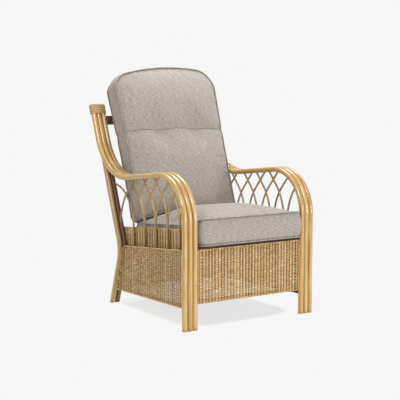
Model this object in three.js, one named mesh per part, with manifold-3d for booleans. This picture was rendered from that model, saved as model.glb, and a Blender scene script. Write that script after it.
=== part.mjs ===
// A cane armchair: bent three-pole arm rails, splayed rear legs, an arched lattice of thin canes
// under each arm, woven base panels and two loose cushions.
// Millimetres and degrees, +Z up. The chair faces -Y, and +X is to the right seen from the front.
// Side views are drawn in a plane whose first axis is Y and whose second is Z. Y starts at the front
// legs and Z at the floor, and at the end the whole chair is centred over its footprint.

import * as THREE from 'three';
import { mergeVertices } from 'three/addons/utils/BufferGeometryUtils.js';
import Module from 'manifold-3d';

const wasm = await Module();
wasm.setup();

// Fits
const clearance = 0.3;            // gap between two pieces that touch

// Arm rails, each of three bent poles side by side
const poleDiameter = 23.1;
const insideWidth = 521.7;        // clear width between the two rails
const frontLegHeight = 432;       // straight front leg, floor to bend
const frontBendRadius = 180;
const armFall = 6;                // slope of the arm rest, falling to the rear
const armRestLength = 268;        // straight run between the two bends
const rearBendRadius = 250;
const backLean = 21;              // lean of the posts and of the whole back
const postLength = 155;           // straight run from the rear bend to the pole's end

// Rear legs, each of two poles behind the rail's inner and middle poles
const kneeHeight = 253;
const kneeRadius = 150;
const legSplay = 19;
const legTopDrop = 78;            // from the posts' ends down to the legs' ends

// Bound caps on the posts
const capWall = 4;
const capLength = 44;
const capTop = 7;                 // solid end above the poles
const capRounding = 3;

// Seat frame
const seatHeight = 340;           // top of the seat frame above the front legs
const seatSlope = 5;
const seatRailHeight = 40;
const seatRailWidth = 18;
const slatCount = 4;
const slatWidth = 46;
const slatThickness = 12;

// Back frame
const crossrailHeight = 41;
const crossrailThickness = 20;
const crossrailDrop = 68;         // from the posts' ends down to its middle
const crossrailRounding = 4;
const rearRailHeight = 62;
const rearRailThickness = 36;
const backPoleCount = 4;
const backPoleSpacing = 104;

// Woven panels and bands
const panelThickness = 8;
const panelBorder = 9;            // wrapped edge round each panel
const panelRecess = 0.8;          // weave lies this much below the wrapped edge
const stakePitch = 15.4;          // upright stakes that the weave passes round
const stakeRelief = 2.2;          // depth of the hollows between them
const panelDrop = 16;             // top edge below the seat frame's top
const panelCornerRadius = 26;
const frontPanelFace = 4.5;       // its front face ahead of the front legs' axis
const frontPanelFloorGap = 103.5;
const sidePanelFrontGap = 82;
const sidePanelRearGap = 66;
const rearPanelFloorGap = 75;
const bandRise = 64;              // inner band's top edge above the seat frame
const bandThickness = 6;
const bandTuck = 14;              // band and canes reach this far behind the side panel
const braceDiameter = 14;

// Lattice of bent canes
const caneDiameter = 8.5;
const firstCane = 110;            // from the front legs' axis to the first pair
const canePitch = 95;
const canePairCount = 5;
const caneSpread = 13.4;          // between the two canes of a pair at their feet
const caneBendRadius = 230;
const caneLean = 42;              // straight again beyond this bend
const lastCaneBendRadius = 178;   // the rearmost cane bends back to the rear leg
const lastCaneLean = 78;
const caneSink = 7;               // a cane is let into the pole by this much

// Cushions
const cushionSideGap = 2;
const cushionSwell = 5;           // boxed sides stand out between the seams
const cushionDrawIn = 4;          // sides pulled in between the corners
const seatOverhang = 30;          // front seam ahead of the front legs' axis
const seatThickness = 104;
const seatCrown = 38;
const seatCornerRadius = 26;
const seatRearGap = 6;
const backLength = 645;
const backThickness = 92;
const backCrown = 32;
const backRearCrown = 23;
const backTopRadius = 86;
const backFootRadius = 30;
const backArch = 40;              // rise of the top edge at its middle
const backFlare = 11;             // each side stands out by this much more at the top
const backSeamHeight = 373;       // sewn channel above the lower edge
const backSeamDepth = 9;
const seamEase = 4;               // rows of the cushion that make room for the channel
const tuftSpacing = 190;
const tuftDepth = 10;
const tuftReach = 44;

const poleRadius = poleDiameter / 2;
const polePitch = poleDiameter + clearance;
const innerPole = insideWidth / 2 + poleRadius;
const middlePole = innerPole + polePitch;
const outerPole = middlePole + polePitch;
const clearHalf = insideWidth / 2 - clearance;
const lean = THREE.MathUtils.degToRad(backLean);
const splay = THREE.MathUtils.degToRad(legSplay);
const slope = THREE.MathUtils.degToRad(seatSlope);
const fall = THREE.MathUtils.degToRad(armFall);
const caneTurn = THREE.MathUtils.degToRad(caneLean);
const lastCaneTurn = THREE.MathUtils.degToRad(lastCaneLean);
const rightAngle = Math.PI / 2;
const sides = [['left', -1], ['right', 1]];

// Lines of the side view

function heading(angle) {
  return new THREE.Vector2(Math.cos(angle), Math.sin(angle));
}

function line(point, angle) {
  return { point, angle, along: heading(angle) };
}

// A parallel line, moved to the right of its own direction.
function shifted(base, distance) {
  return line(base.point.clone().addScaledVector(heading(base.angle - rightAngle), distance), base.angle);
}

function pointOn(base, distance) {
  return base.point.clone().addScaledVector(base.along, distance);
}

function meet(first, second) {
  const between = second.point.clone().sub(first.point);
  return pointOn(first, between.cross(second.along) / first.along.cross(second.along));
}

function upright(y) {
  return line(new THREE.Vector2(y, 0), rightAngle);
}

function heightOn(base, y) {
  return meet(base, upright(y)).y;
}

const armBendEnd = heading(rightAngle - fall).multiplyScalar(frontBendRadius)
  .add(new THREE.Vector2(frontBendRadius, frontLegHeight));
const armRestEnd = pointOn(line(armBendEnd, -fall), armRestLength);
const rearBendCentre = armRestEnd.clone().addScaledVector(heading(rightAngle - fall), rearBendRadius);
const postStart = rearBendCentre.clone().addScaledVector(heading(-lean), rearBendRadius);
const postLine = line(postStart, rightAngle - lean);
const upperLegLine = shifted(postLine, polePitch);
const knee = meet(upperLegLine, line(new THREE.Vector2(0, kneeHeight), 0));
const lowerLegLine = line(knee, rightAngle + splay);
const floorLine = line(new THREE.Vector2(0, 0), 0);
const seatLine = line(new THREE.Vector2(0, seatHeight), -slope);

// Bent poles

class SideCurve extends THREE.Curve {
  constructor(path, x) {
    super();
    this.path = path;
    this.x = x;
  }

  getPoint(t) {
    const point = this.path.getPoint(t);
    return new THREE.Vector3(this.x, point.x, point.y);
  }
}

function pole(path, x, diameter, steps, facets = 8) {
  const round = new THREE.Shape().absarc(0, 0, diameter / 2, 0, 2 * Math.PI);
  const extrudePath = new SideCurve(path, x);
  return new THREE.ExtrudeGeometry(round, { steps, curveSegments: facets / 2, extrudePath });
}

// Up the front leg, over the front bend, down the arm rest and up the post.
function armPath(extra = 0) {
  const end = pointOn(postLine, postLength + extra);
  return new THREE.Path()
    .moveTo(0, 0)
    .lineTo(0, frontLegHeight)
    .absarc(frontBendRadius, frontLegHeight, frontBendRadius, Math.PI, rightAngle - fall, true)
    .lineTo(armRestEnd.x, armRestEnd.y)
    .absarc(rearBendCentre.x, rearBendCentre.y, rearBendRadius, -rightAngle - fall, -lean, false)
    .lineTo(end.x, end.y);
}

// From below the floor up to the knee, round it and up behind the post.
function legPath() {
  const foot = meet(lowerLegLine, shifted(floorLine, poleDiameter));
  const bendStart = pointOn(lowerLegLine, -kneeRadius * Math.tan((lean + splay) / 2));
  const centre = bendStart.clone().addScaledVector(heading(splay), kneeRadius);
  const end = pointOn(upperLegLine, postLength - legTopDrop);
  return new THREE.Path()
    .moveTo(foot.x, foot.y)
    .lineTo(bendStart.x, bendStart.y)
    .absarc(centre.x, centre.y, kneeRadius, Math.PI + splay, Math.PI - lean, true)
    .lineTo(end.x, end.y);
}

// Joining and cutting

function solid(geometry) {
  const bare = geometry.clone();
  bare.deleteAttribute('normal');
  bare.deleteAttribute('uv');
  const merged = mergeVertices(bare, 1e-3);
  return new wasm.Manifold(new wasm.Mesh({
    numProp: 3,
    vertProperties: new Float32Array(merged.attributes.position.array),
    triVerts: new Uint32Array(merged.index.array),
  }));
}

function geometryOf(body) {
  const mesh = body.getMesh();
  const result = new THREE.BufferGeometry();
  result.setAttribute('position', new THREE.BufferAttribute(new Float32Array(mesh.vertProperties), 3));
  result.setIndex(new THREE.BufferAttribute(new Uint32Array(mesh.triVerts), 1));
  result.computeVertexNormals();
  return result;
}

function cut(geometry, ...tools) {
  return geometryOf(tools.reduce((body, tool) => body.subtract(solid(tool)), solid(geometry)));
}

function common(first, second) {
  return geometryOf(solid(first).intersect(solid(second)));
}

// Straight members

function rectangle(width, height) {
  return new THREE.Shape()
    .moveTo(-width / 2, -height / 2)
    .lineTo(width / 2, -height / 2)
    .lineTo(width / 2, height / 2)
    .lineTo(-width / 2, height / 2);
}

function roundedRectangle(width, height, radius) {
  const x = width / 2 - radius;
  const y = height / 2 - radius;
  return new THREE.Shape()
    .absarc(x, -y, radius, -rightAngle, 0)
    .absarc(x, y, radius, 0, rightAngle)
    .absarc(-x, y, radius, rightAngle, 2 * rightAngle)
    .absarc(-x, -y, radius, 2 * rightAngle, 3 * rightAngle);
}

// A section of the side view carried across the chair. Its own first axis is turned by the angle.
function bar(section, length, place, angle, curveSegments = 3) {
  const turn = new THREE.Matrix4().makeBasis(
    new THREE.Vector3(0, Math.cos(angle), Math.sin(angle)),
    new THREE.Vector3(0, -Math.sin(angle), Math.cos(angle)),
    new THREE.Vector3(1, 0, 0),
  );
  return new THREE.ExtrudeGeometry(section, { depth: length, bevelEnabled: false, curveSegments })
    .translate(0, 0, -length / 2)
    .applyMatrix4(turn)
    .translate(0, place.x, place.y);
}

// A board whose outline is drawn straight in the side view.
function board(outline, x, thickness) {
  return bar(outline, thickness, new THREE.Vector2(0, 0), 0).translate(x, 0, 0);
}

// A flat woven panel: on both faces the weave is sunk below the wrapped edge and ribbed by its stakes.
function wovenPanel(outline, weave) {
  const flat = { bevelEnabled: false, curveSegments: 5 };
  const plate = new THREE.ExtrudeGeometry(outline, { ...flat, depth: panelThickness })
    .translate(0, 0, -panelThickness / 2);
  const prism = new THREE.ExtrudeGeometry(weave, { ...flat, depth: 4 * panelThickness })
    .translate(0, 0, -2 * panelThickness);
  const field = new THREE.Box2().setFromPoints(weave.getPoints()).expandByScalar(clearance);
  const size = field.getSize(new THREE.Vector2());
  const folds = 2 * Math.round(size.x / stakePitch);
  const pockets = [1, -1].map((face) => {
    const section = new THREE.Shape().moveTo(field.min.x, face * panelThickness);
    for (let i = 0; i <= folds; i++) {
      const depth = panelRecess + (i % 2 ? 0 : stakeRelief);
      section.lineTo(field.min.x + i * size.x / folds, face * (panelThickness / 2 - depth));
    }
    section.lineTo(field.max.x, face * panelThickness);
    const folded = new THREE.ExtrudeGeometry(section, { ...flat, depth: size.y })
      .rotateX(rightAngle)
      .translate(0, field.max.y, 0);
    return common(folded, prism);
  });
  return cut(plate, ...pockets);
}

// Cushions: a box whose top and bottom are crowned, sides drawn in and corners rounded.

function roundCorner(point, width, length, radius) {
  const x = Math.abs(point.x) - (width / 2 - radius);
  const y = Math.abs(point.y) - (length / 2 - radius);
  if (x <= 0 || y <= 0) {
    return;
  }
  const draw = Math.max(x, y) / Math.hypot(x, y) - 1;
  point.x += Math.sign(point.x) * x * draw;
  point.y += Math.sign(point.y) * y * draw;
}

function cushion(size, cells, shape = () => {}) {
  const geometry = new THREE.BoxGeometry(size.width, size.length, size.thickness, ...cells);
  const place = geometry.attributes.position;
  const point = new THREE.Vector3();
  for (let i = 0; i < place.count; i++) {
    point.fromBufferAttribute(place, i);
    const a = 2 * point.x / size.width;
    const b = 2 * point.y / size.length;
    const c = 2 * point.z / size.thickness;
    const fullness = (1 - Math.abs(a) ** 3) * (1 - Math.abs(b) ** 3);
    roundCorner(point, size.width, size.length, b > 0 ? size.farRadius : size.nearRadius);
    point.x += a * (cushionSwell * (1 - c * c) - cushionDrawIn * (1 - b * b));
    point.y += b * (cushionSwell * (1 - c * c) - cushionDrawIn * (1 - a * a));
    point.z += c * fullness * (c > 0 ? size.crown : size.rearCrown);
    shape(point, a, b, c);
    place.setXYZ(i, point.x, point.y, point.z);
  }
  return geometry;
}

// Materials

function finish(colour, roughness) {
  return new THREE.MeshStandardMaterial({ color: colour, roughness, metalness: 0 });
}

const honeyRattan = finish(0xc79a5b, 0.35);
const darkRattan = finish(0x4a2c1a, 0.4);
const caneTan = finish(0xa9804f, 0.5);
const wicker = finish(0xa98352, 0.6);
const binding = finish(0xa08a55, 0.55);
const plainWood = finish(0x8a6a45, 0.7);
const fabric = finish(0xb7ada4, 0.95);

const chair = new THREE.Group();

function add(name, geometry, material) {
  const mesh = new THREE.Mesh(geometry, material);
  mesh.name = name;
  chair.add(mesh);
}

// Arm rails and caps

const railPoles = [['inner', innerPole], ['middle', middlePole], ['outer', outerPole]];
const railSteps = 38;
const wideDiameter = poleDiameter + 2 * clearance;

function capGeometry(side) {
  const depth = poleDiameter + 2 * capWall;
  const width = outerPole - innerPole + depth;
  const section = roundedRectangle(width - 2 * capRounding, depth - 2 * capRounding, depth / 2 - capRounding);
  const block = new THREE.ExtrudeGeometry(section, {
    depth: capLength - 2 * capRounding,
    bevelThickness: capRounding,
    bevelSize: capRounding,
    bevelSegments: 2,
    curveSegments: 5,
  });
  const foot = pointOn(postLine, postLength + capTop - capLength + capRounding);
  block.rotateX(-lean).translate(side * middlePole, foot.x, foot.y);
  return cut(block, ...railPoles.map(([, x]) => pole(armPath(clearance), side * x, wideDiameter, railSteps)));
}

for (const [hand, side] of sides) {
  for (const [place, x] of railPoles) {
    add(`arm_rail_${hand}_${place}`, pole(armPath(), side * x, poleDiameter, railSteps), honeyRattan);
  }
  add(`post_cap_${hand}`, capGeometry(side), binding);
}

// Rear legs, cut flat at the floor

const legSteps = 22;
const belowFloor = new THREE.BoxGeometry(2 * outerPole + poleDiameter, 4 * poleDiameter, 2 * poleDiameter);
belowFloor.translate(0, meet(lowerLegLine, floorLine).x, -poleDiameter);

for (const [hand, side] of sides) {
  for (const [place, x, material] of [['inner', innerPole, darkRattan], ['outer', middlePole, honeyRattan]]) {
    const leg = pole(legPath(), side * x, poleDiameter, legSteps);
    add(`rear_leg_${hand}_${place}`, cut(leg, belowFloor), material);
  }
}

// Lattice of bent canes

const bandTopLine = shifted(seatLine, -bandRise);
const bandFootLine = shifted(seatLine, panelDrop + bandTuck);
const forwardLayer = innerPole + (caneDiameter + clearance) / 2;
const backwardLayer = innerPole - (caneDiameter + clearance) / 2;
const poleSamples = [armPath(), legPath()].flatMap((path) => path.getSpacedPoints(300));
const caneEnd = poleRadius - caneSink;
const leastTurn = THREE.MathUtils.degToRad(15);
const turnStep = 0.004;

function inPole(point) {
  return poleSamples.some((sample) => sample.distanceTo(point) < caneEnd);
}

// Straight up from its tail, then bent forwards (-1) or backwards (1), and straight again. It ends
// inside the first pole that it meets.
function cane(foot, tail, radius, bend, way, x) {
  const centre = new THREE.Vector2(foot.x + way * radius, foot.y);
  const start = way > 0 ? Math.PI : 0;
  const onBend = (turn) => centre.clone().addScaledVector(heading(start - way * turn), radius);
  let turn = leastTurn;
  while (turn < bend && !inPole(onBend(turn))) {
    turn += turnStep;
  }
  const rest = line(onBend(turn), rightAngle - way * turn);
  let run = 0;
  while (run < armRestLength && !inPole(pointOn(rest, run))) {
    run += clearance;
  }
  const end = pointOn(rest, run);
  const path = new THREE.Path()
    .moveTo(foot.x, foot.y - tail)
    .lineTo(foot.x, foot.y)
    .absarc(centre.x, centre.y, radius, start, start - way * turn, way > 0)
    .lineTo(end.x, end.y);
  const cutters = [armPath(clearance), legPath()].flatMap((pathCut) => [innerPole, middlePole]
    .map((poleX) => pole(pathCut, Math.sign(x) * poleX, wideDiameter, railSteps)));
  return cut(pole(path, x, caneDiameter, 12, 6), ...cutters);
}

function caneFoot(y) {
  return new THREE.Vector2(y, heightOn(bandTopLine, y));
}

const caneTail = heightOn(bandTopLine, 0) - heightOn(bandFootLine, 0);

for (const [hand, side] of sides) {
  for (let i = 0; i < canePairCount; i++) {
    const y = firstCane + i * canePitch;
    const frontFoot = caneFoot(y - caneSpread / 2);
    const rearFoot = caneFoot(y + caneSpread / 2);
    const last = i === canePairCount - 1;
    const backRadius = last ? lastCaneBendRadius : caneBendRadius;
    const backBend = last ? lastCaneTurn : caneTurn;
    const forward = cane(frontFoot, caneTail, caneBendRadius, caneTurn, -1, side * forwardLayer);
    const backward = cane(rearFoot, caneTail, backRadius, backBend, 1, side * backwardLayer);
    add(`cane_${hand}_forward_${i + 1}`, forward, caneTan);
    add(`cane_${hand}_backward_${i + 1}`, backward, caneTan);
  }
  const legFoot = meet(upperLegLine, bandTopLine);
  const fromLeg = cane(legFoot, 0, caneBendRadius, caneTurn, -1, side * forwardLayer);
  add(`cane_${hand}_from_leg`, fromLeg, caneTan);
}

// Seat frame

const bandInside = backwardLayer - caneDiameter / 2 - clearance - bandThickness;
const frontRailFace = panelThickness - frontPanelFace + clearance;
const frontRailBack = frontRailFace + seatRailWidth;
const backPoleLine = shifted(postLine, -crossrailThickness / 2 - clearance - poleRadius);
const rearRailLine = shifted(backPoleLine, poleRadius + clearance + rearRailThickness / 2);
const rearRailMiddle = meet(rearRailLine, seatLine);
const underSeatLine = shifted(seatLine, seatRailHeight);

function outlineOf(...lines) {
  return new THREE.Shape(lines.map((edge, i) => meet(edge, lines[(i + 1) % lines.length])));
}

const frontRailSection = outlineOf(upright(frontRailFace), underSeatLine, upright(frontRailBack), seatLine);
add('seat_rail_front', board(frontRailSection, 0, 2 * clearHalf), darkRattan);
const rearRailSection = rectangle(rearRailThickness, rearRailHeight);
add('seat_rail_rear', bar(rearRailSection, 2 * clearHalf, rearRailMiddle, -lean), darkRattan);

const rearRailFace = shifted(rearRailLine, -rearRailThickness / 2 - clearance);
const sideRailOutline = outlineOf(upright(frontRailBack + clearance), underSeatLine, rearRailFace, seatLine);
const sideRailX = bandInside - clearance - seatRailWidth / 2;
for (const [hand, side] of sides) {
  add(`seat_rail_${hand}`, board(sideRailOutline, side * sideRailX, seatRailWidth), darkRattan);
}

const backPoleFace = shifted(backPoleLine, -poleRadius - clearance);
const slatLine = shifted(seatLine, slatThickness / 2);
const slatsStart = frontRailBack;
const slatsEnd = meet(slatLine, backPoleFace).x;
const slatLength = 2 * (sideRailX - seatRailWidth / 2 - clearance);
for (let i = 0; i < slatCount; i++) {
  const y = slatsStart + (slatsEnd - slatsStart) * (i + 0.5) / slatCount;
  const middle = meet(slatLine, upright(y));
  const slat = bar(rectangle(slatWidth, slatThickness), slatLength, middle, -slope);
  add(`seat_slat_${i + 1}`, slat, plainWood);
}

// Back frame

const crossrailAt = postLength - crossrailDrop;
const crossrailSection = roundedRectangle(crossrailThickness, crossrailHeight, crossrailRounding);
const crossrail = bar(crossrailSection, 2 * clearHalf, pointOn(postLine, crossrailAt), -lean);
add('back_crossrail', crossrail, darkRattan);

const backPoleTop = pointOn(backPoleLine, crossrailAt + crossrailHeight / 2);
const rearRailFoot = line(pointOn(line(rearRailMiddle, rightAngle - lean), -rearRailHeight / 2), -lean);
const backPoleFoot = meet(backPoleLine, rearRailFoot);
const backPolePath = new THREE.Path([backPoleFoot, backPoleTop]);
for (let i = 0; i < backPoleCount; i++) {
  const x = (i - (backPoleCount - 1) / 2) * backPoleSpacing;
  add(`back_pole_${i + 1}`, pole(backPolePath, x, poleDiameter, 1), darkRattan);
}

// Woven panels and bands

const legFace = shifted(lowerLegLine, -poleRadius - clearance);
const sidePanelRearFoot = meet(legFace, shifted(floorLine, -sidePanelRearGap));
const sidePanelRise = Math.atan2(sidePanelRearGap - sidePanelFrontGap, sidePanelRearFoot.x);
const sidePanelFoot = line(new THREE.Vector2(0, sidePanelFrontGap), sidePanelRise);
const sidePanelFront = upright(poleRadius + clearance);

function sidePanelOutline(inset) {
  const front = shifted(sidePanelFront, inset);
  const foot = shifted(sidePanelFoot, -inset);
  const rear = shifted(legFace, -inset);
  const top = shifted(seatLine, panelDrop + inset);
  const corner = meet(rear, top);
  const radius = Math.max(panelCornerRadius - inset, panelBorder);
  const low = corner.clone().addScaledVector(rear.along, -radius);
  const high = corner.clone().addScaledVector(top.along, -radius);
  const frontFoot = meet(front, foot);
  const rearFoot = meet(foot, rear);
  const frontTop = meet(top, front);
  return new THREE.Shape()
    .moveTo(frontFoot.x, frontFoot.y)
    .lineTo(rearFoot.x, rearFoot.y)
    .lineTo(low.x, low.y)
    .quadraticCurveTo(corner.x, corner.y, high.x, high.y)
    .lineTo(frontTop.x, frontTop.y);
}

const alongSide = new THREE.Matrix4().makeBasis(
  new THREE.Vector3(0, 1, 0),
  new THREE.Vector3(0, 0, 1),
  new THREE.Vector3(1, 0, 0),
);
for (const [hand, side] of sides) {
  const panel = wovenPanel(sidePanelOutline(0), sidePanelOutline(panelBorder));
  add(`side_panel_${hand}`, panel.applyMatrix4(alongSide).translate(side * middlePole, 0, 0), wicker);
}

// A panel across the chair, from its lower edge up its own slope.
function crossPanel(height, foot, tilt) {
  const width = 2 * clearHalf;
  const outline = rectangle(width, height);
  const weave = rectangle(width - 2 * panelBorder, height - 2 * panelBorder);
  return wovenPanel(outline, weave)
    .translate(0, height / 2, 0)
    .rotateX(rightAngle + tilt)
    .translate(0, foot.x, foot.y);
}

const frontPanelMiddle = panelThickness / 2 - frontPanelFace;
const frontPanelHeight = seatHeight - panelDrop - frontPanelFloorGap;
const frontPanelFoot = new THREE.Vector2(frontPanelMiddle, frontPanelFloorGap);
add('front_panel', crossPanel(frontPanelHeight, frontPanelFoot, 0), wicker);

const rearPanelFoot = meet(lowerLegLine, shifted(floorLine, -rearPanelFloorGap));
const rearPanelTop = meet(lowerLegLine, shifted(rearRailFoot, clearance + panelThickness / 2));
add('rear_panel', crossPanel(rearPanelFoot.distanceTo(rearPanelTop), rearPanelFoot, splay), wicker);

// Each inner band reaches back to the rear leg and is notched over the rear rail.
const bandOutline = outlineOf(
  bandFootLine,
  shifted(upperLegLine, -poleRadius - clearance),
  bandTopLine,
  upright(frontRailBack + clearance),
);
const bandX = bandInside + bandThickness / 2;
const notchSection = rectangle(rearRailThickness + 2 * clearance, rearRailHeight + 2 * clearance);
const notch = bar(notchSection, 2 * middlePole, rearRailMiddle, -lean);
for (const [hand, side] of sides) {
  add(`inner_band_${hand}`, cut(board(bandOutline, side * bandX, bandThickness), notch), wicker);
}

// Braces behind the panels' lower edges

const braceX = middlePole - panelThickness / 2 - clearance - braceDiameter / 2;
const braceLine = shifted(sidePanelFoot, -braceDiameter / 2);
const bracePath = new THREE.Path([
  meet(braceLine, upright(poleRadius / 2)),
  meet(braceLine, shifted(lowerLegLine, -poleRadius / 2)),
]);
for (const [hand, side] of sides) {
  const cutters = [armPath(), legPath()].flatMap((path) => [innerPole, middlePole]
    .map((x) => pole(path, side * x, wideDiameter, railSteps)));
  add(`brace_${hand}`, cut(pole(bracePath, side * braceX, braceDiameter, 1), ...cutters), darkRattan);
}

const round = new THREE.Shape().absarc(0, 0, braceDiameter / 2, 0, 2 * Math.PI);
const braceOffset = panelThickness / 2 + clearance + braceDiameter / 2;
const frontBracePlace = new THREE.Vector2(braceOffset, braceDiameter / 2).add(frontPanelFoot);
add('brace_front', bar(round, 2 * clearHalf, frontBracePlace, 0, 4), darkRattan);
const rearBracePlace = rearPanelFoot.clone()
  .addScaledVector(lowerLegLine.along, braceDiameter / 2)
  .addScaledVector(heading(splay), -braceOffset);
add('brace_rear', bar(round, 2 * clearHalf, rearBracePlace, 0, 4), darkRattan);

// Seat cushion, lying on the seat frame

const cushionWidth = 2 * (bandInside - cushionSideGap - cushionSwell);
const seatTop = shifted(seatLine, -clearance);
const seatEnd = meet(seatTop, shifted(backPoleFace, -seatRearGap - cushionSwell));
const seatStart = meet(seatTop, upright(-seatOverhang));
const seatSize = {
  width: cushionWidth,
  length: seatStart.distanceTo(seatEnd),
  thickness: seatThickness,
  nearRadius: seatCornerRadius,
  farRadius: seatCornerRadius,
  crown: seatCrown,
  rearCrown: 0,
};
const seatMiddle = seatStart.clone().add(seatEnd).multiplyScalar(0.5);
const seatPad = cushion(seatSize, [16, 16, 4])
  .translate(0, 0, seatThickness / 2)
  .rotateX(-slope)
  .translate(0, seatMiddle.x, seatMiddle.y);
add('seat_cushion', seatPad, fabric);

// Back cushion, leaning on the back poles and standing on the seat cushion

const backCells = [16, 20, 4];
const seamRow = Math.round(backCells[1] * backSeamHeight / backLength);
const rowHeight = backLength / backCells[1];

// One row of the front face is pulled in along the sewn channel and at its two tufts.
function sewnChannel(point, a, b, c) {
  const row = Math.round((b + 1) / 2 * backCells[1]);
  point.y += (backSeamHeight - seamRow * rowHeight) * Math.max(0, 1 - Math.abs(row - seamRow) / seamEase);
  point.y += backArch * (1 - a * a) * Math.max(0, b) ** 3;
  point.x += a * backFlare * (1 + b) / 2;
  if (c < 1) {
    return;
  }
  const onSeam = row === seamRow ? 1 : 0;
  const offTuft = (Math.abs(point.x) - tuftSpacing / 2) / tuftReach;
  point.z -= onSeam * (1 - a ** 8) * (backSeamDepth + tuftDepth * Math.exp(-offTuft * offTuft));
}

const backSize = {
  width: cushionWidth,
  length: backLength,
  thickness: backThickness,
  nearRadius: backFootRadius,
  farRadius: backTopRadius,
  crown: backCrown,
  rearCrown: backRearCrown,
};
const backRearLine = shifted(backPoleFace, -backRearCrown);

// The back cushion stands just above the seat cushion's highest point along the lean.
const seatPoints = seatPad.getAttribute('position');
const reaches = Array.from({ length: seatPoints.count }, (_, i) => (
  backRearLine.along.dot(new THREE.Vector2(seatPoints.getY(i), seatPoints.getZ(i)))
));
const seatReach = Math.max(...reaches) - backRearLine.along.dot(backRearLine.point);
const backFoot = pointOn(backRearLine, seatReach + cushionSwell + 2 * clearance);
const backPad = cushion(backSize, backCells, sewnChannel)
  .translate(0, backLength / 2, backThickness / 2)
  .rotateX(rightAngle - lean)
  .translate(0, backFoot.x, backFoot.y);
add('back_cushion', backPad, fabric);

// The chair stands with the middle of its footprint at the origin.
const middle = new THREE.Box3().setFromObject(chair).getCenter(new THREE.Vector3());
chair.position.set(-middle.x, -middle.y, 0);

export default chair;
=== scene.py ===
import bpy
import numpy as np
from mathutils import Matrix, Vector


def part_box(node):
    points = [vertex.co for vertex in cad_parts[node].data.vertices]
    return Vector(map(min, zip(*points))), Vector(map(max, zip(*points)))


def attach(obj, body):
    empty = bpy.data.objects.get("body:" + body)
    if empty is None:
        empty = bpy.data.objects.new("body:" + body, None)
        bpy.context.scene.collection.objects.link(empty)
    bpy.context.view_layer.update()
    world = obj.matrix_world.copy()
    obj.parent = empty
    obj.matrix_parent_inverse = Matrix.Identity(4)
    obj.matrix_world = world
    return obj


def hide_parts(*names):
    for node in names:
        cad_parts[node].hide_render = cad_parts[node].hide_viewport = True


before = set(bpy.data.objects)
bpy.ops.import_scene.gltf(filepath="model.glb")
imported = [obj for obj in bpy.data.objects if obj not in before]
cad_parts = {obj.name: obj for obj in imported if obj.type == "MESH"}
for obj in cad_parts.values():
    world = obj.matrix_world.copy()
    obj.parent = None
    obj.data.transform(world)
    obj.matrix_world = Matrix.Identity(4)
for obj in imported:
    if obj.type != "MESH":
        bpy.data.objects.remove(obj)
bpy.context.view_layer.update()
print("frame loaded:", len(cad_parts), "nodes")

# Metres and degrees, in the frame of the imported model. The chair faces -y, with its middle at x = 0.
chair = {
    "frontY": -0.382918,
    "poleRadius": 0.01155,
    "innerPole": 0.2724,
    "middlePole": 0.2958,
    "outerPole": 0.3192,
    "seatHeight": 0.340,
    "seatSlope": 5,
    "backLean": 21,
    "legSplay": 19,
    "kneeHeight": 0.253,
}
sideNames = (("left", -1), ("right", 1))
slope = np.radians(chair["seatSlope"])
lean = np.radians(chair["backLean"])
splay = np.radians(chair["legSplay"])
acrossX = np.array([1.0, 0.0, 0.0])


def seatLine(y):
    # the seat's height at y: a straight slope down from the front legs
    return chair["seatHeight"] - np.tan(slope) * (y - chair["frontY"])


# Shader trees

class Value:
    # One output of a shader node. Arithmetic on it adds Math nodes.
    def __init__(self, nodes, socket):
        self.nodes = nodes
        self.socket = socket

    def __add__(self, other):
        return self.nodes.maths("ADD", self, other)

    def __sub__(self, other):
        return self.nodes.maths("SUBTRACT", self, other)

    def __rsub__(self, other):
        return self.nodes.maths("SUBTRACT", other, self)

    def __mul__(self, other):
        return self.nodes.maths("MULTIPLY", self, other)

    def __pow__(self, other):
        return self.nodes.maths("POWER", self, other)

    __radd__ = __add__
    __rmul__ = __mul__


class Nodes:
    # Adds nodes to one shader tree: a node's settings come first, then the values or links of its sockets.
    def __init__(self, tree):
        self.tree = tree

    def node(self, kind, settings, sockets, output=0):
        made = self.tree.nodes.new("ShaderNode" + kind)
        for key, value in settings.items():
            setattr(made, key, value)
        for key, value in sockets.items():
            self.join(value, made.inputs[key])
        return Value(self, made.outputs[output])

    def join(self, value, socket):
        if isinstance(value, Value):
            self.tree.links.new(value.socket, socket)
        else:
            socket.default_value = value

    def maths(self, operation, first, second):
        return self.node("Math", {"operation": operation}, {0: first, 1: second})

    def attribute(self, name, output="Fac"):
        return self.node("Attribute", {"attribute_name": name}, {}, output)

    def axis(self, vector, number):
        return self.node("SeparateXYZ", {}, {0: vector}, number)

    def noise(self, vector, cells, detail=2.0, roughness=0.5):
        # cells: how many of them there are to a unit along each axis
        place = self.node("VectorMath", {"operation": "MULTIPLY"}, {0: vector, 1: cells})
        return self.node("TexNoise", {}, {
            "Vector": place, "Scale": 1.0, "Detail": detail, "Roughness": roughness,
        })

    def ease(self, value, low, high):
        # 0 below low and 1 above high, smooth between
        settings = {"interpolation_type": "SMOOTHSTEP"}
        return self.node("MapRange", settings, {"Value": value, "From Min": low, "From Max": high})

    def blend(self, factor, first, second):
        # from the first colour to the second; sockets 6 and 7 and output 2 are the node's colours
        return self.node("Mix", {"data_type": "RGBA"}, {0: factor, 6: first, 7: second}, 2)

    def bump(self, height, strength, distance):
        return self.node("Bump", {}, {"Height": height, "Strength": strength, "Distance": distance})


class Finish(Nodes):
    # A material round one Principled shader; its constants are set straight on the sockets.
    def __init__(self, name, constants):
        self.material = bpy.data.materials.new(name)
        self.material.use_nodes = True
        super().__init__(self.material.node_tree)
        self.surface = self.tree.nodes["Principled BSDF"]
        for key, value in constants.items():
            self.surface.inputs[key].default_value = value

    def feed(self, links):
        for key, value in links.items():
            self.join(value, self.surface.inputs[key])
        return self.material


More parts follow.
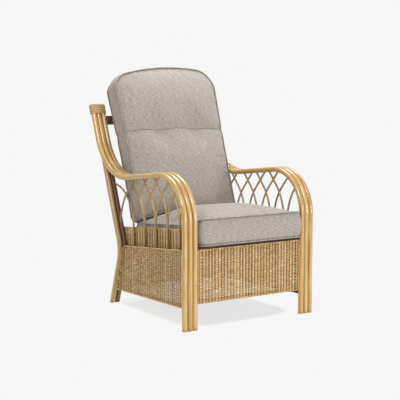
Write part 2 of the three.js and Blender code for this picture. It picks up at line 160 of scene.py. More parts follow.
def tint(code):
    # an sRGB hex code as a linear colour
    parts = np.array([int(code[k:k + 2], 16) for k in (0, 2, 4)]) / 255
    linear = np.where(parts < 0.04045, parts / 12.92, ((parts + 0.055) / 1.055) ** 2.4)
    return (*linear.tolist(), 1.0)


# In the finishes' dictionaries a noise's own name gives its cells to a metre, Ease where it sets in and where
# it is full, Share how much of a tone it lays on, Rough and Height what it adds to roughness and bump.

rattanGrain = {
    "fibre": (900, 900, 11), "fibreEase": (0.32, 0.68), "fibreRough": 0.14, "fibreHeight": 0.4,
    "streak": (230, 230, 3), "streakEase": (0.47, 0.64), "streakShare": 0.75,
    "patch": (30, 30, 7), "patchEase": (0.35, 0.72),
    "fleck": (420, 420, 60), "fleckEase": (0.6, 0.75), "fleckShare": 0.5,
    "jointShare": 0.16, "jointHeight": 0.4, "grooveShadeShare": 0.16,
    "footEase": (0.004, 0.03), "footRagged": 0.02, "footShare": 0.55, "footRough": 0.2,
    "bump": (0.25, 0.0006), "specular": 0.4,
}


def rattanFinish(name, tones, shine):
    # Lacquered pole: fine fibres and broader streaks along the length, slow patches, faint rings at the
    # joints, painted shade in the grooves between poles, and a darker, rougher foot with less lacquer.
    look = rattanGrain
    finish = Finish(name, {"Coat Roughness": shine["coatRoughness"], "Specular IOR Level": look["specular"]})
    grain = finish.attribute("grain", "Vector")
    fibre = finish.noise(grain, look["fibre"], 3.0, 0.6)
    streak = finish.noise(grain, look["streak"], 3.0, 0.55)
    patch = finish.noise(grain, look["patch"])
    fleck = finish.noise(grain, look["fleck"])
    joint = finish.attribute("joint")
    grooveShade = finish.attribute("grooveShade")
    # darker, rougher and with less lacquer over the first few centimetres of a rod
    foot = 1 - finish.ease(finish.axis(grain, 2) + fibre * look["footRagged"], *look["footEase"])
    streaks = finish.ease(streak, *look["streakEase"]) * look["streakShare"]
    flecks = finish.ease(fleck, *look["fleckEase"]) * look["fleckShare"]
    body = finish.blend(finish.ease(fibre, *look["fibreEase"]), tint(tones["deep"]), tint(tones["light"]))
    aged = finish.blend(finish.ease(patch, *look["patchEase"]), body, tint(tones["amber"]))
    streaked = finish.blend(streaks, aged, tint(tones["streak"]))
    flecked = finish.blend(flecks, streaked, tint(tones["deep"]))
    ringed = finish.blend(joint * look["jointShare"], flecked, tint(tones["joint"]))
    # painted shade in the grooves between poles, laid on in the joint colour
    grooveShaded = finish.blend(grooveShade * look["grooveShadeShare"], ringed, tint(tones["joint"]))
    colour = finish.blend(foot * look["footShare"], grooveShaded, tint(tones["joint"]))
    height = fibre * look["fibreHeight"] + joint * look["jointHeight"]
    return finish.feed({
        "Base Color": colour,
        "Roughness": shine["rough"] + fibre * look["fibreRough"] + foot * look["footRough"],
        "Coat Weight": shine["coat"] - foot * shine["coat"],
        "Normal": finish.bump(height, *look["bump"]),
    })


wickerGrain = {
    "fibre": (1500, 1500, 40), "fibreEase": (0.5, 0.8), "fibreShare": 0.45, "fibreRough": 0.25,
    "patch": (3, 3, 22), "patchShare": 0.3, "toneShare": 0.85, "darken": 0.1, "speckEase": (1.2, 1.7),
    "rough": 0.5, "bump": (0.3, 0.0004), "specular": 0.2,
}


def wickerFinish(name, tones):
    # Woven strands: each pass has a tone, which also carries painted light and shade, with fibres along it;
    # the palest passes show as pale specks of painted light.
    look = wickerGrain
    finish = Finish(name, {"Specular IOR Level": look["specular"]})
    grain = finish.attribute("grain", "Vector")
    tone = finish.attribute("tone")
    fibre = finish.noise(grain, look["fibre"], 3.0, 0.6)
    patch = finish.noise(grain, look["patch"])
    paleness = tone * look["toneShare"] + patch * look["patchShare"] - look["darken"]
    fibres = finish.ease(fibre, *look["fibreEase"]) * look["fibreShare"]
    body = finish.blend(paleness, tint(tones["deep"]), tint(tones["light"]))
    fibred = finish.blend(fibres, body, tint(tones["amber"]))
    # painted light: the palest tones turn into pale specks
    colour = finish.blend(finish.ease(tone, *look["speckEase"]), fibred, tint(tones["speck"]))
    return finish.feed({
        "Base Color": colour,
        "Roughness": look["rough"] + fibre * look["fibreRough"],
        "Normal": finish.bump(fibre, *look["bump"]),
    })


woodGrain = {
    "ring": (3, 60, 60), "ringEase": (0.35, 0.65),
    "pore": (40, 700, 700), "poreEase": (0.55, 0.7), "poreShare": 0.5, "poreRough": 0.2,
    "rough": 0.55, "bump": (0.25, 0.0005), "specular": 0.3,
}


def woodFinish(name, tones):
    # Plain sawn wood with its grain along x.
    look = woodGrain
    finish = Finish(name, {"Specular IOR Level": look["specular"]})
    place = finish.node("TexCoord", {}, {}, "Object")
    ring = finish.noise(place, look["ring"], 4.0, 0.6)
    pore = finish.noise(place, look["pore"])
    pores = finish.ease(pore, *look["poreEase"]) * look["poreShare"]
    body = finish.blend(finish.ease(ring, *look["ringEase"]), tint(tones["deep"]), tint(tones["light"]))
    return finish.feed({
        "Base Color": finish.blend(pores, body, tint(tones["amber"])),
        "Roughness": look["rough"] + pore * look["poreRough"],
        "Normal": finish.bump(pore, *look["bump"]),
    })


clothWeave = {
    "slub": (64, 480, 1), "slubEase": (0.28, 0.72), "slubRough": 0.1, "slubHeight": 0.5,
    "fleck": (330, 700, 1), "fleckEase": (0.52, 0.7), "fleckShare": 0.4, "fleckHeight": 0.4,
    "cloud": (9, 14, 1), "cloudEase": (0.4, 0.7), "cloudShare": 0.15,
    "yarnsPerMetre": 520, "yarnHeight": 0.25, "seamEase": (0.0004, 0.0026), "seamShare": 0.6,
    "rough": 0.86, "bump": (0.35, 0.0007), "specular": 0.2, "sheen": 0.25, "sheenRough": 0.5,
}


def clothFinish(name, tones):
    # Flat weave: crossing yarns, long slubs across, short flecks, soft cloudy shade. The quilting seam gets
    # painted shade where the attribute line, the distance from it, comes to nothing.
    look = clothWeave
    finish = Finish(name, {
        "Specular IOR Level": look["specular"],
        "Sheen Weight": look["sheen"],
        "Sheen Roughness": look["sheenRough"],
    })
    plane = finish.node("UVMap", {"uv_map": "cloth"}, {})
    crease = finish.attribute("crease")
    line = finish.maths("ABSOLUTE", finish.attribute("line"), 0.0)
    slub = finish.noise(plane, look["slub"], 4.0, 0.7)
    fleck = finish.noise(plane, look["fleck"], 3.0, 0.6)
    cloud = finish.noise(plane, look["cloud"], 1.0)
    turns = 2 * np.pi * look["yarnsPerMetre"]
    across, along = [finish.maths("SINE", finish.axis(plane, k) * turns, 0.0) for k in (0, 1)]
    flecks = finish.ease(fleck, *look["fleckEase"]) * look["fleckShare"]
    clouds = finish.ease(cloud, *look["cloudEase"]) * look["cloudShare"]
    seam = (1 - finish.ease(line, *look["seamEase"])) * look["seamShare"]
    body = finish.blend(finish.ease(slub, *look["slubEase"]), tint(tones["deep"]), tint(tones["light"]))
    shot = finish.blend(flecks, body, tint(tones["warm"]))
    clouded = finish.blend(clouds, shot, tint(tones["pale"]))
    # painted shade in the seam's groove
    seamShaded = finish.blend(seam, clouded, tint(tones["shadow"]))
    yarn = across * along
    height = yarn * look["yarnHeight"] + slub * look["slubHeight"] + fleck * look["fleckHeight"]
    # the crease attribute lays on painted shade beside the welts
    return finish.feed({
        "Base Color": finish.blend(crease, seamShaded, tint(tones["shadow"])),
        "Roughness": look["rough"] + slub * look["slubRough"],
        "Normal": finish.bump(height, *look["bump"]),
    })


honeyRattan = rattanFinish(
    "honeyRattan",
    {"light": "dcbc82", "deep": "bc9757", "amber": "c0964f", "streak": "96692f", "joint": "74522a"},
    {"rough": 0.3, "coat": 0.65, "coatRoughness": 0.14},
)
# painted shade: a darker, less lacquered copy of the honey rattan, for the outer rear legs at the back of the
# chair
shadedHoneyRattan = rattanFinish(
    "shadedHoneyRattan",
    {"light": "c7a971", "deep": "a5874f", "amber": "b6965e", "streak": "8d7040", "joint": "715a35"},
    {"rough": 0.34, "coat": 0.35, "coatRoughness": 0.2},
)
darkRattan = rattanFinish(
    "darkRattan",
    {"light": "6d4527", "deep": "4a2b17", "amber": "5d351c", "streak": "3a1f10", "joint": "2a160b"},
    {"rough": 0.36, "coat": 0.22, "coatRoughness": 0.22},
)
# painted shade: a deep brown copy of the rattan for the inner rear legs, which stand in shadow behind the
# outer ones
shadedRattan = rattanFinish(
    "shadedRattan",
    {"light": "8a633d", "deep": "613f26", "amber": "744c2c", "streak": "4c2e19", "joint": "352010"},
    {"rough": 0.5, "coat": 0.08, "coatRoughness": 0.3},
)
caneFinish = rattanFinish(
    "latticeCane",
    {"light": "c4a56e", "deep": "967a4b", "amber": "ad8d58", "streak": "7d6339", "joint": "5f4a2a"},
    {"rough": 0.34, "coat": 0.3, "coatRoughness": 0.2},
)
wickerWeave = wickerFinish(
    "wickerWeave", {"light": "f2d29c", "deep": "6f4c22", "amber": "c49e62", "speck": "fff6e4"})
wickerStake = wickerFinish(
    "wickerStake", {"light": "edcc97", "deep": "b48c54", "amber": "cca66d", "speck": "fff6e4"})
borderWrap = wickerFinish(
    "borderWrap", {"light": "d8b880", "deep": "7e5529", "amber": "b58f58", "speck": "f0dcb4"})
capWrap = wickerFinish(
    "capWrap", {"light": "c8ab76", "deep": "7f6339", "amber": "b2945f", "speck": "e0c898"})
plainWood = woodFinish("plainWood", {"light": "c4a173", "deep": "a37f52", "amber": "8a683f"})
# painted shade: a near-black wood for the seat rails, whose front shows in the shadow under the seat cushion
shadedWood = woodFinish("shadedWood", {"light": "4a2d1d", "deep": "2c1810", "amber": "1f110b"})
cloth = clothFinish("cloth", {
    "light": "bcb4ab", "deep": "7a7068", "warm": "8d8178", "pale": "aaa29a", "shadow": "4d4640",
})
print("finishes made:", len(bpy.data.materials))


# Surfaces

def unit(vectors):
    return vectors / np.linalg.norm(vectors, axis=-1, keepdims=True)


def circle(radius, sides):
    angles = 2 * np.pi * np.arange(sides) / sides
    return radius * np.stack([np.cos(angles), np.sin(angles)], 1)


def roundedLoop(corners, radii, step, arcPoints=17):
    # A closed outline: straight sides, an arc at each corner, and points evenly spaced round the whole.
    corners = np.array(corners, float)
    into = unit(corners - np.roll(corners, 1, 0))
    out = unit(np.roll(corners, -1, 0) - corners)
    turns = np.arctan2(into[:, 0] * out[:, 1] - into[:, 1] * out[:, 0], (into * out).sum(1))
    headings = np.arctan2(into[:, 1], into[:, 0])
    arcs = []
    for corner, ahead, turn, heading, radius in zip(corners, into, turns, headings, radii):
        hand = np.sign(turn)
        start = corner - ahead * radius * np.tan(abs(turn) / 2)
        centre = start + hand * radius * np.array([-ahead[1], ahead[0]])
        angles = heading + np.linspace(0, turn, arcPoints)
        arcs.append(centre + hand * radius * np.stack([np.sin(angles), -np.cos(angles)], 1))
    loop = np.vstack(arcs + [arcs[0][:1]])
    marks = np.append(0, np.cumsum(np.linalg.norm(np.diff(loop, axis=0), axis=1)))
    even = np.linspace(0, marks[-1], int(marks[-1] / step), endpoint=False)
    return np.stack([np.interp(even, marks, loop[:, k]) for k in (0, 1)], 1)


def bentPath(start, heading, runs, step=0.001):
    # A line in the side view. Each run is a length and the degrees it turns through; the heading is
    # summed along it, so an arc is a run that turns evenly.
    lengths, turns = np.array(runs, float).T
    ends = np.append(0, np.cumsum(lengths))
    headings = np.radians(heading + np.append(0, np.cumsum(turns)))
    marks = np.linspace(0, ends[-1], int(ends[-1] / step) + 1)
    middles = np.interp((marks[1:] + marks[:-1]) / 2, ends, headings)
    moves = np.stack([np.cos(middles), np.sin(middles)], 1) * np.diff(marks)[:, None]
    return np.vstack([start, start + np.cumsum(moves, 0)]), marks


def pointsAt(path, distances):
    # the points of a bent path at these distances along it
    line, marks = path
    return np.stack([np.interp(distances, marks, line[:, k]) for k in (0, 1)], -1)


def directions(path, closed=False):
    # unit directions along a path, from each point's neighbours
    if closed:
        return unit(np.roll(path, -1, -2) - np.roll(path, 1, -2))
    return unit(np.gradient(path, axis=-2))


def sweep(path, binormal, section, scale=1.0, closed=False):
    # A section carried along a path: each point is the path's point plus the section's two measures,
    # one along the binormal and one along the direction square to it and to the path.
    ahead = directions(path, closed)
    normal = unit(np.cross(ahead, binormal))
    binormal = np.cross(normal, ahead)
    scale = np.broadcast_to(scale, path.shape[:-1])[..., None, None]
    offset = section[:, :1] * binormal[..., None, :] + section[:, 1:] * normal[..., None, :]
    return path[..., None, :] + scale * offset


def grainOf(section, run):
    # for each point of a swept section: its two measures in the section, and the distance along the path
    around = np.broadcast_to(section, (*run.shape, *section.shape))
    return np.concatenate([around, np.broadcast_to(run[..., None, None], (*around.shape[:-1], 1))], -1)


def tubeFaces(tubes, length, sides, closed=False):
    # Quads between each ring of a tube and the next, and a face over both ends of an open tube.
    spans = length if closed else length - 1
    tube, ring, side = np.meshgrid(np.arange(tubes), np.arange(spans), np.arange(sides), indexing="ij")

    def at(rings, places):
        return (tube * length + rings % length) * sides + places % sides

    quads = np.stack([at(ring, side), at(ring, side + 1), at(ring + 1, side + 1), at(ring + 1, side)], -1)
    quads = quads.reshape(-1, 4)
    if closed:
        return quads, np.zeros((0, sides), int)
    first = (np.arange(tubes) * length * sides)[:, None] + np.arange(sides)
    return quads, np.vstack([first[:, ::-1], first + (length - 1) * sides])


def fillMesh(name, points, faces, attributes):
    # Quads and end faces go in as flat arrays; the end faces stay flat shaded.
    quads, caps = faces
    points = points.reshape(-1, 3)
    corners = np.concatenate([quads.ravel(), caps.ravel()]).astype(np.int32)
    starts = np.concatenate([np.arange(len(quads)) * 4, quads.size + np.arange(len(caps)) * caps.shape[1]])
    mesh = bpy.data.meshes.new(name)
    mesh.vertices.add(len(points))
    mesh.vertices.foreach_set("co", points.ravel().astype(np.float32))
    mesh.loops.add(len(corners))
    mesh.loops.foreach_set("vertex_index", corners)
    mesh.polygons.add(len(starts))
    mesh.polygons.foreach_set("loop_start", starts.astype(np.int32))
    mesh.update(calc_edges=True)
    mesh.polygons.foreach_set("use_smooth", np.arange(len(starts)) < len(quads))
    for key, values in attributes.items():
        values = np.asarray(values, np.float32)
        isVector = values.size == points.size
        made = mesh.attributes.new(key, "FLOAT_VECTOR" if isVector else "FLOAT", "POINT")
        made.data.foreach_set("vector" if isVector else "value", values.ravel())
    return mesh


def putPiece(name, mesh, material, nodes=(), body="frame"):
    piece = bpy.data.objects.new(name, mesh)
    bpy.context.scene.collection.objects.link(piece)
    mesh.materials.clear()
    mesh.materials.append(material)
    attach(piece, body)
    if nodes:
        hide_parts(*nodes)
    return piece


rod = {
    "ringsAtJoint": 9, "ringsAtEnd": (0, 0.08, 0.3, 0.6, 1.0), "closest": 0.0002,
    "jointReach": 0.009, "jointWidth": 0.0022, "jointDip": 0.4, "swellWidth": 0.006,
    "firstJoint": 0.1, "endClear": 0.03, "onFloor": 0.001, "levelReach": 0.03,
    "touchFrom": 0.8, "touchReach": 0.2, "grainSpread": 40,
}


def ringMarks(length, spacing, joints, rounding):
    # Distances along a rod: even ones, close ones at each joint and at the rounded ends.
    even = np.linspace(0, length, int(length / spacing) + 2)
    near = (joints[:, None] + np.linspace(-rod["jointReach"], rod["jointReach"], rod["ringsAtJoint"])).ravel()
    ends = rounding * np.array(rod["ringsAtEnd"])
    marks = np.concatenate([even[1:-1], near, ends, length - ends])
    marks = np.unique(np.round(marks[(marks >= 0) & (marks <= length)], 5))
    return marks[np.append(True, np.diff(marks) > rod["closest"])]


def endInset(marks, length, rounding):
    # how far the skin is drawn in at each distance: a quarter circle at both ends
    shrink = np.clip(1 - np.minimum(marks, length - marks) / rounding, 0, 1)
    return rounding * (1 - np.sqrt(1 - shrink ** 2))


def rodMesh(name, path, x, style, seed, beside=()):
    # A round rod in a plane of constant x. Its radius swells at each joint, has a fine groove there, and
    # falls off over a quarter circle at both ends. An end that stands on the floor is cut level. The
    # attribute for painted shade between poles rises to 1 where the rod touches the ones beside it.
    draws = np.random.default_rng(seed)
    length = path[1][-1]
    count = int(length / style["jointGap"][0]) + 1
    joints = np.cumsum(draws.uniform(*style["jointGap"], count)) - rod["firstJoint"]
    joints = joints[(joints > rod["endClear"]) & (joints < length - rod["endClear"])]
    marks = ringMarks(length, style["spacing"], joints, style["rounding"])
    offJoint = marks[:, None] - joints
    joint = np.exp(-(offJoint / rod["jointWidth"]) ** 2).sum(1)
    swell = style["swell"] * np.exp(-(offJoint / rod["swellWidth"]) ** 2).sum(1)
    swell = swell - rod["jointDip"] * style["swell"] * joint
    section = circle(style["radius"], style["sides"])
    scale = 1 + (swell - endInset(marks, length, style["rounding"])) / style["radius"]
    line = pointsAt(path, marks)
    points = np.column_stack([np.full(len(line), x), line])
    skin = sweep(points, acrossX, section, scale)
    if line[0, 1] < rod["onFloor"]:
        ahead = directions(points)
        near = np.clip(1 - marks / rod["levelReach"], 0, 1)[:, None]
        drop = -(skin[..., 2] - points[:, None, 2]) / ahead[:, None, 2] * near
        skin = skin + drop[..., None] * ahead[:, None, :]
    grain = grainOf(section, marks) + np.array([draws.uniform(0, rod["grainSpread"]), 0, 0])
    # painted shade between poles: rises where the skin faces a pole beside it
    facing = np.outer(beside, section[:, 0]) / style["radius"]
    touch = np.clip((facing - rod["touchFrom"]) / rod["touchReach"], 0, 1).sum(0)
    attributes = {
        "grain": grain,
        "joint": np.broadcast_to(joint[:, None], grain.shape[:2]),
        "grooveShade": np.broadcast_to(touch, grain.shape[:2]),
    }
    return fillMesh(name, skin, tubeFaces(1, len(marks), len(section)), attributes)


# Poles: front leg, arm and rear post in one bend, three to a side

armRail = {
    "radius": chair["poleRadius"], "sides": 24, "spacing": 0.006, "rounding": 0.0025,
    "jointGap": (0.24, 0.42), "swell": 0.00045,
    "frontLeg": 0.432, "frontBend": 0.180, "armFall": 6, "armRest": 0.268, "rearBend": 0.250, "post": 0.155,
}
frontTurn = 90 + armRail["armFall"]
rearTurn = 90 - chair["backLean"] + armRail["armFall"]
armPath = bentPath((chair["frontY"], 0.0), 90, [
    (armRail["frontLeg"], 0),
    (armRail["frontBend"] * np.radians(frontTurn), -frontTurn),
    (armRail["armRest"], 0),
    (armRail["rearBend"] * np.radians(rearTurn), rearTurn),
    (armRail["post"], 0),
])
firstSeed = poleSeed = 11
for hand, side in sideNames:
    for place, beside in (("inner", (side,)), ("middle", (1, -1)), ("outer", (-side,))):
        node = f"arm_rail_{hand}_{place}"
        poleSeed += 1
        name = "armRail" + hand.title() + place.title()
        mesh = rodMesh(name, armPath, side * chair[place + "Pole"], armRail, poleSeed, beside)
        putPiece(mesh.name, mesh, honeyRattan, [node])

# Rear legs: two on each side, bent at the knee, behind the posts; the light outer one and the dark inner one
# both carry painted shade

rearLeg = {
    "radius": chair["poleRadius"], "sides": 24, "spacing": 0.006, "rounding": 0.0025,
    "jointGap": (0.22, 0.40), "swell": 0.00045, "pitch": 0.0234, "kneeRadius": 0.150, "topDrop": 0.078,
}
postStart = pointsAt(armPath, armPath[1][-1] - armRail["post"])
upperLeg = postStart + rearLeg["pitch"] * np.array([np.cos(lean), -np.sin(lean)])
kneeY = upperLeg[0] - (upperLeg[1] - chair["kneeHeight"]) * np.tan(lean)
rearFootY = kneeY + chair["kneeHeight"] * np.tan(splay)
kneeTurn = chair["backLean"] + chair["legSplay"]
kneeTangent = rearLeg["kneeRadius"] * np.tan(np.radians(kneeTurn) / 2)
upperLength = (upperLeg[1] - chair["kneeHeight"]) / np.cos(lean) + armRail["post"] - rearLeg["topDrop"]
legPath = bentPath((rearFootY, 0.0), 90 + chair["legSplay"], [
    (chair["kneeHeight"] / np.cos(splay) - kneeTangent, 0),
    (rearLeg["kneeRadius"] * np.radians(kneeTurn), -kneeTurn),
    (upperLength - kneeTangent, 0),
])
for hand, side in sideNames:
    # painted shade: the inner legs' brown and the outer legs' darker honey stand for the shadow at the back
    for place, x, beside, finish, slot in (
        ("inner", "innerPole", (side,), shadedRattan, "dark_rattan"),
        ("outer", "middlePole", (-side,), shadedHoneyRattan, "honey_rattan"),
    ):
        poleSeed += 1
        name = "rearLeg" + hand.title() + place.title()
        mesh = rodMesh(name, legPath, side * chair[x], rearLeg, poleSeed, beside)
        putPiece(mesh.name, mesh, finish, [f"rear_leg_{hand}_{place}"])
print("poles bent:", poleSeed - firstSeed)

# Lattice: pairs of canes that rise from the inner band, arch both ways and end in the arm or the rear leg

lattice = {
    "radius": 0.00425, "sides": 14, "spacing": 0.006, "rounding": 0.001,
    "jointGap": (0.12, 0.30), "swell": 0.00025,
    "first": 0.110, "pitch": 0.095, "pairs": 5, "spread": 0.0134, "bandRise": 0.064, "bandTail": 0.0944,
    "outerLayer": 0.2768, "innerLayer": 0.2680, "bend": 0.230, "lean": 42, "lastBend": 0.178, "lastLean": 78,
    "sink": 0.007, "slack": 0.002, "shortest": 0.002, "clear": 0.1, "straight": 0.32,
}
armLine = armPath[0][::4]  # a point every 4 mm is close enough to find where a cane meets a pole
poleLines = np.vstack([armLine, legPath[0][::4]])


def bandTop(y):
    # the inner band's top edge, parallel to the seat
    return seatLine(y) + lattice["bandRise"] / np.cos(slope)


def caneMesh(name, y, layer, side, hand, bend, turn, tail, goals, seed):
    # Up the band, round an arc and on in a straight line, until it is inside a pole.
    start = (y, bandTop(y) - tail)
    runs = [
        (max(tail, lattice["shortest"]), 0),
        (bend * np.radians(turn), hand * turn),
        (lattice["straight"], 0),
    ]
    line, marks = bentPath(start, 90, runs)
    gaps = np.linalg.norm(line[:, None] - goals, axis=2).min(1)
    inside = gaps < chair["poleRadius"] - lattice["sink"] + lattice["slack"]
    stop = int(np.argmax(inside & (marks > tail + lattice["clear"]))) + 1
    return rodMesh(name, (line[:stop], marks[:stop]), side * layer, lattice, seed)


legFootY = upperLeg[0] - (upperLeg[1] - bandTop(upperLeg[0])) / (1 / np.tan(lean) + np.tan(slope))
for hand, side in sideNames:
    for k in range(lattice["pairs"]):
        y = chair["frontY"] + lattice["first"] + k * lattice["pitch"]
        isLast = k == lattice["pairs"] - 1
        for word, turnHand, layer in (("forward", 1, "outerLayer"), ("backward", -1, "innerLayer")):
            tight = isLast and word == "backward"
            bend, turn = [lattice[key] for key in (("lastBend", "lastLean") if tight else ("bend", "lean"))]
            poleSeed += 1
            mesh = caneMesh(
                f"cane{hand.title()}{word.title()}{k + 1}", y - turnHand * lattice["spread"] / 2,
                lattice[layer], side, turnHand, bend, turn, lattice["bandTail"], poleLines, poleSeed)
            putPiece(mesh.name, mesh, caneFinish, [f"cane_{hand}_{word}_{k + 1}"])
    poleSeed += 1
    mesh = caneMesh(
        f"cane{hand.title()}FromLeg", legFootY, lattice["outerLayer"], side, 1,
        lattice["bend"], lattice["lean"], 0.0, armLine, poleSeed)
    putPiece(mesh.name, mesh, caneFinish, [f"cane_{hand}_from_leg"])
print("lattice bent")

# Back frame and braces: straight bars

bar = {"spacing": 0.02, "pastFoot": 0.05}


def barMesh(name, start, end, section, rounding, binormal, seed):
    # A section carried from start to end, drawn in over a quarter circle at both ends. Its grain begins
    # past the darker foot of a pole's finish.
    draws = np.random.default_rng(seed)
    start, end = np.array(start, float), np.array(end, float)
    length = np.linalg.norm(end - start)
    marks = ringMarks(length, bar["spacing"], np.zeros(0), rounding)
    scale = 1 - endInset(marks, length, rounding) / np.abs(section).max()
    path = start + (end - start) * (marks / length)[:, None]
    skin = sweep(path, np.array(binormal, float), section, scale)
    shift = np.array([draws.uniform(0, rod["grainSpread"]), 0, bar["pastFoot"]])
    return fillMesh(
        name, skin, tubeFaces(1, len(marks), len(section)), {"grain": grainOf(section, marks) + shift})


def roundedBox(width, height, radius, parts=24):
    # a rectangle with rounded corners, in steps of a part of its width and height together
    half = np.array([width, height]) / 2
    corners = half * np.array([(-1, -1), (1, -1), (1, 1), (-1, 1)])
    return roundedLoop(corners, [radius] * 4, (width + height) / parts)


leanUp = np.array([0.0, np.sin(lean), np.cos(lean)])
leanFront = np.array([0.0, -np.cos(lean), np.sin(lean)])
postAxis = np.array([0.0, *postStart])
backFrame = {
    "halfWidth": 0.2606, "railShare": 0.98, "crossAlong": 0.087,
    "crossSection": (0.041, 0.020, 0.006), "crossRounding": 0.003, "crossSeed": 61,
    "rearSection": (0.062, 0.036, 0.007), "rearRounding": 0.004, "rearSeed": 62,
    "poleX": (-0.156, -0.052, 0.052, 0.156), "poleForward": 0.02185,
    "poleJointGap": (0.18, 0.34), "poleSeed": 70,
    "brace": (0.007, 16), "braceRounding": 0.002, "braceSeed": 80,
}
crossMiddle = postAxis + backFrame["crossAlong"] * leanUp
halfX = backFrame["halfWidth"] * acrossX
mesh = barMesh(
    "backCrossrail", crossMiddle - halfX, crossMiddle + halfX, roundedBox(*backFrame["crossSection"]),
    backFrame["crossRounding"], leanUp, backFrame["crossSeed"])
putPiece(mesh.name, mesh, darkRattan, ["back_crossrail"])
low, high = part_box("seat_rail_rear")
rearMiddle = (np.array(low) + np.array(high)) / 2
shortX = halfX * backFrame["railShare"]
mesh = barMesh(
    "seatRailRear", rearMiddle - shortX, rearMiddle + shortX, roundedBox(*backFrame["rearSection"]),
    backFrame["rearRounding"], leanUp, backFrame["rearSeed"])
putPiece(mesh.name, mesh, darkRattan, ["seat_rail_rear"])
backPole = dict(rearLeg, jointGap=backFrame["poleJointGap"])
for k, x in enumerate(backFrame["poleX"]):
    low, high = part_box(f"back_pole_{k + 1}")
    foot = postAxis + backFrame["poleForward"] * leanFront
    rise = np.array([low.z, high.z]) + chair["poleRadius"] * np.sin(lean) * np.array([1, -1])
    ends = foot + ((rise - foot[2]) / leanUp[2])[:, None] * leanUp
    path = bentPath(ends[0, 1:], 90 - chair["backLean"], [(np.linalg.norm(ends[1] - ends[0]), 0)])
    mesh = rodMesh(f"backPole{k + 1}", path, x, backPole, backFrame["poleSeed"] + k)
    putPiece(mesh.name, mesh, darkRattan, [f"back_pole_{k + 1}"])
for name in ("front", "rear"):
    low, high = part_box("brace_" + name)
    middle = (np.array(low) + np.array(high)) / 2
    mesh = barMesh(
        "brace" + name.title(), middle - halfX, middle + halfX, circle(*backFrame["brace"]),
        backFrame["braceRounding"], (0, 0, 1), backFrame["braceSeed"])
    putPiece(mesh.name, mesh, darkRattan, ["brace_" + name])
print("back frame and braces made")

# Caps: flat cane wound round the three pole ends of each post and drawn over the top

cap = {
    "reach": 0.0234, "radius": 0.01535, "start": 0.118, "end": 0.162, "rounding": 0.005, "lip": 0.0035,
    "sides": 72, "rows": 46, "rollRings": 8, "topRings": 6, "slit": 0.0008, "straightness": 1.6,
    "wrap": 0.0088, "ridge": 0.0010, "ridgeMiddle": 0.6, "ridgeFade": 0.006,
    "topFrom": 0.002, "topReach": 0.006, "topRise": 0.0006, "strandPitch": 0.0062, "strandRise": 0.0012,
    "leastTone": 0.05, "stripTone": 0.75, "stripCurve": 0.6, "strandTone": 0.25, "grainTurn": 0.02,
}


def capMesh(name, side):
    # A stadium outline round the three poles. It goes up the post in wound ridges (the radius rises and
    # falls with the height plus one pitch per turn), rolls in over the top edge and closes on a line. Over
    # the top, ridges run from front to back.
    angles = 2 * np.pi * np.arange(cap["sides"]) / cap["sides"]
    height = cap["end"] - cap["start"]
    rounding = cap["rounding"]
    upright = np.linspace(0.0, height - rounding, cap["rows"])
    roll = np.linspace(0, np.pi / 2, cap["rollRings"] + 1)[1:]
    inward = np.linspace(0, cap["radius"] - rounding - cap["slit"], cap["topRings"] + 1)[1:]
    rolled = height - rounding * (1 - np.sin(roll))
    rise = np.concatenate([[0.0], upright, rolled, np.full(cap["topRings"], height)])
    inset = np.concatenate([
        [cap["lip"]], np.zeros(cap["rows"]), rounding * (1 - np.cos(roll)), rounding + inward,
    ])
    turn = rise[:, None] / cap["wrap"] + angles / (2 * np.pi)
    fade = np.clip((height - rise) / cap["ridgeFade"], 0, 1)[:, None]
    strip = np.abs(np.cos(np.pi * turn)) * fade
    overTop = np.clip((inset[:, None] - cap["topFrom"]) / cap["topReach"], 0, 1)
    along = cap["reach"] * np.clip(np.cos(angles) * cap["straightness"], -1, 1)
    strand = np.abs(np.sin(np.pi * along / cap["strandPitch"]))
    radius = cap["radius"] - inset[:, None] + cap["ridge"] * (strip - cap["ridgeMiddle"])
    across = along + radius * np.cos(angles)
    depth = radius * np.sin(angles)
    up = rise[:, None] + cap["strandRise"] * overTop * strand + cap["topRise"] * overTop
    middle = side * chair["middlePole"] * acrossX + postAxis + cap["start"] * leanUp
    points = middle + across[..., None] * acrossX - depth[..., None] * leanFront + up[..., None] * leanUp
    grain = np.stack(np.broadcast_arrays(strip, turn, angles * cap["grainTurn"]), -1)
    # painted shade: the tone is low in the crevices between wound turns and between the strands over the top,
    # high on their crests
    tone = cap["leastTone"] + cap["stripTone"] * strip ** cap["stripCurve"]
    tone = tone + cap["strandTone"] * overTop * strand
    return fillMesh(name, points, tubeFaces(1, len(rise), cap["sides"]), {"grain": grain, "tone": tone})


for hand, side in sideNames:
    mesh = capMesh("postCap" + hand.title(), side)
    putPiece(mesh.name, mesh, capWrap, [f"post_cap_{hand}"])
print("caps wound")

# Woven panels: strands in and out of upright stakes, inside a wrapped border

panelWeave = {
    "stakePitch": 0.0154, "stake": (0.0024, 0.0019), "stakeSides": 8, "stakeRings": 9, "shortestStake": 0.05,
    "stakeTone": (0.36, 0.14), "stakeOwn": 0.25, "levels": 41,
    "rowPitch": 0.0033, "strand": (0.0015, 0.00105), "strandSides": 6, "perStake": 5, "sway": 0.0030,
    "lap": 0.0005, "rowShift": 0.00018, "thickShift": 0.06, "grainSpread": 30,
    "ribDepth": 1.5, "spread": (0.17, 0.19), "lift": 0.0, "endShade": 0.6, "endReach": 0.030,
    "dash": 0.0065, "dashWidth": 0.0030, "dashDepth": 0.9, "underShare": 0.3, "underDepth": 0.7,
    "specks": 0.012, "speckTone": 1.05,
    "cluster": 0.20, "clusterMiddle": (0.68, 0.57), "clusterReach": (0.17, 0.22),
    "edge": 0.0090, "border": 0.0030, "borderSides": 10, "wrap": 0.0046, "wrapSteps": 4, "wrapRidge": 0.06,
    "edgeTone": 0.22, "ridgeTone": 0.45, "woundTone": 0.5, "borderGrain": (3, 3, 4),
}
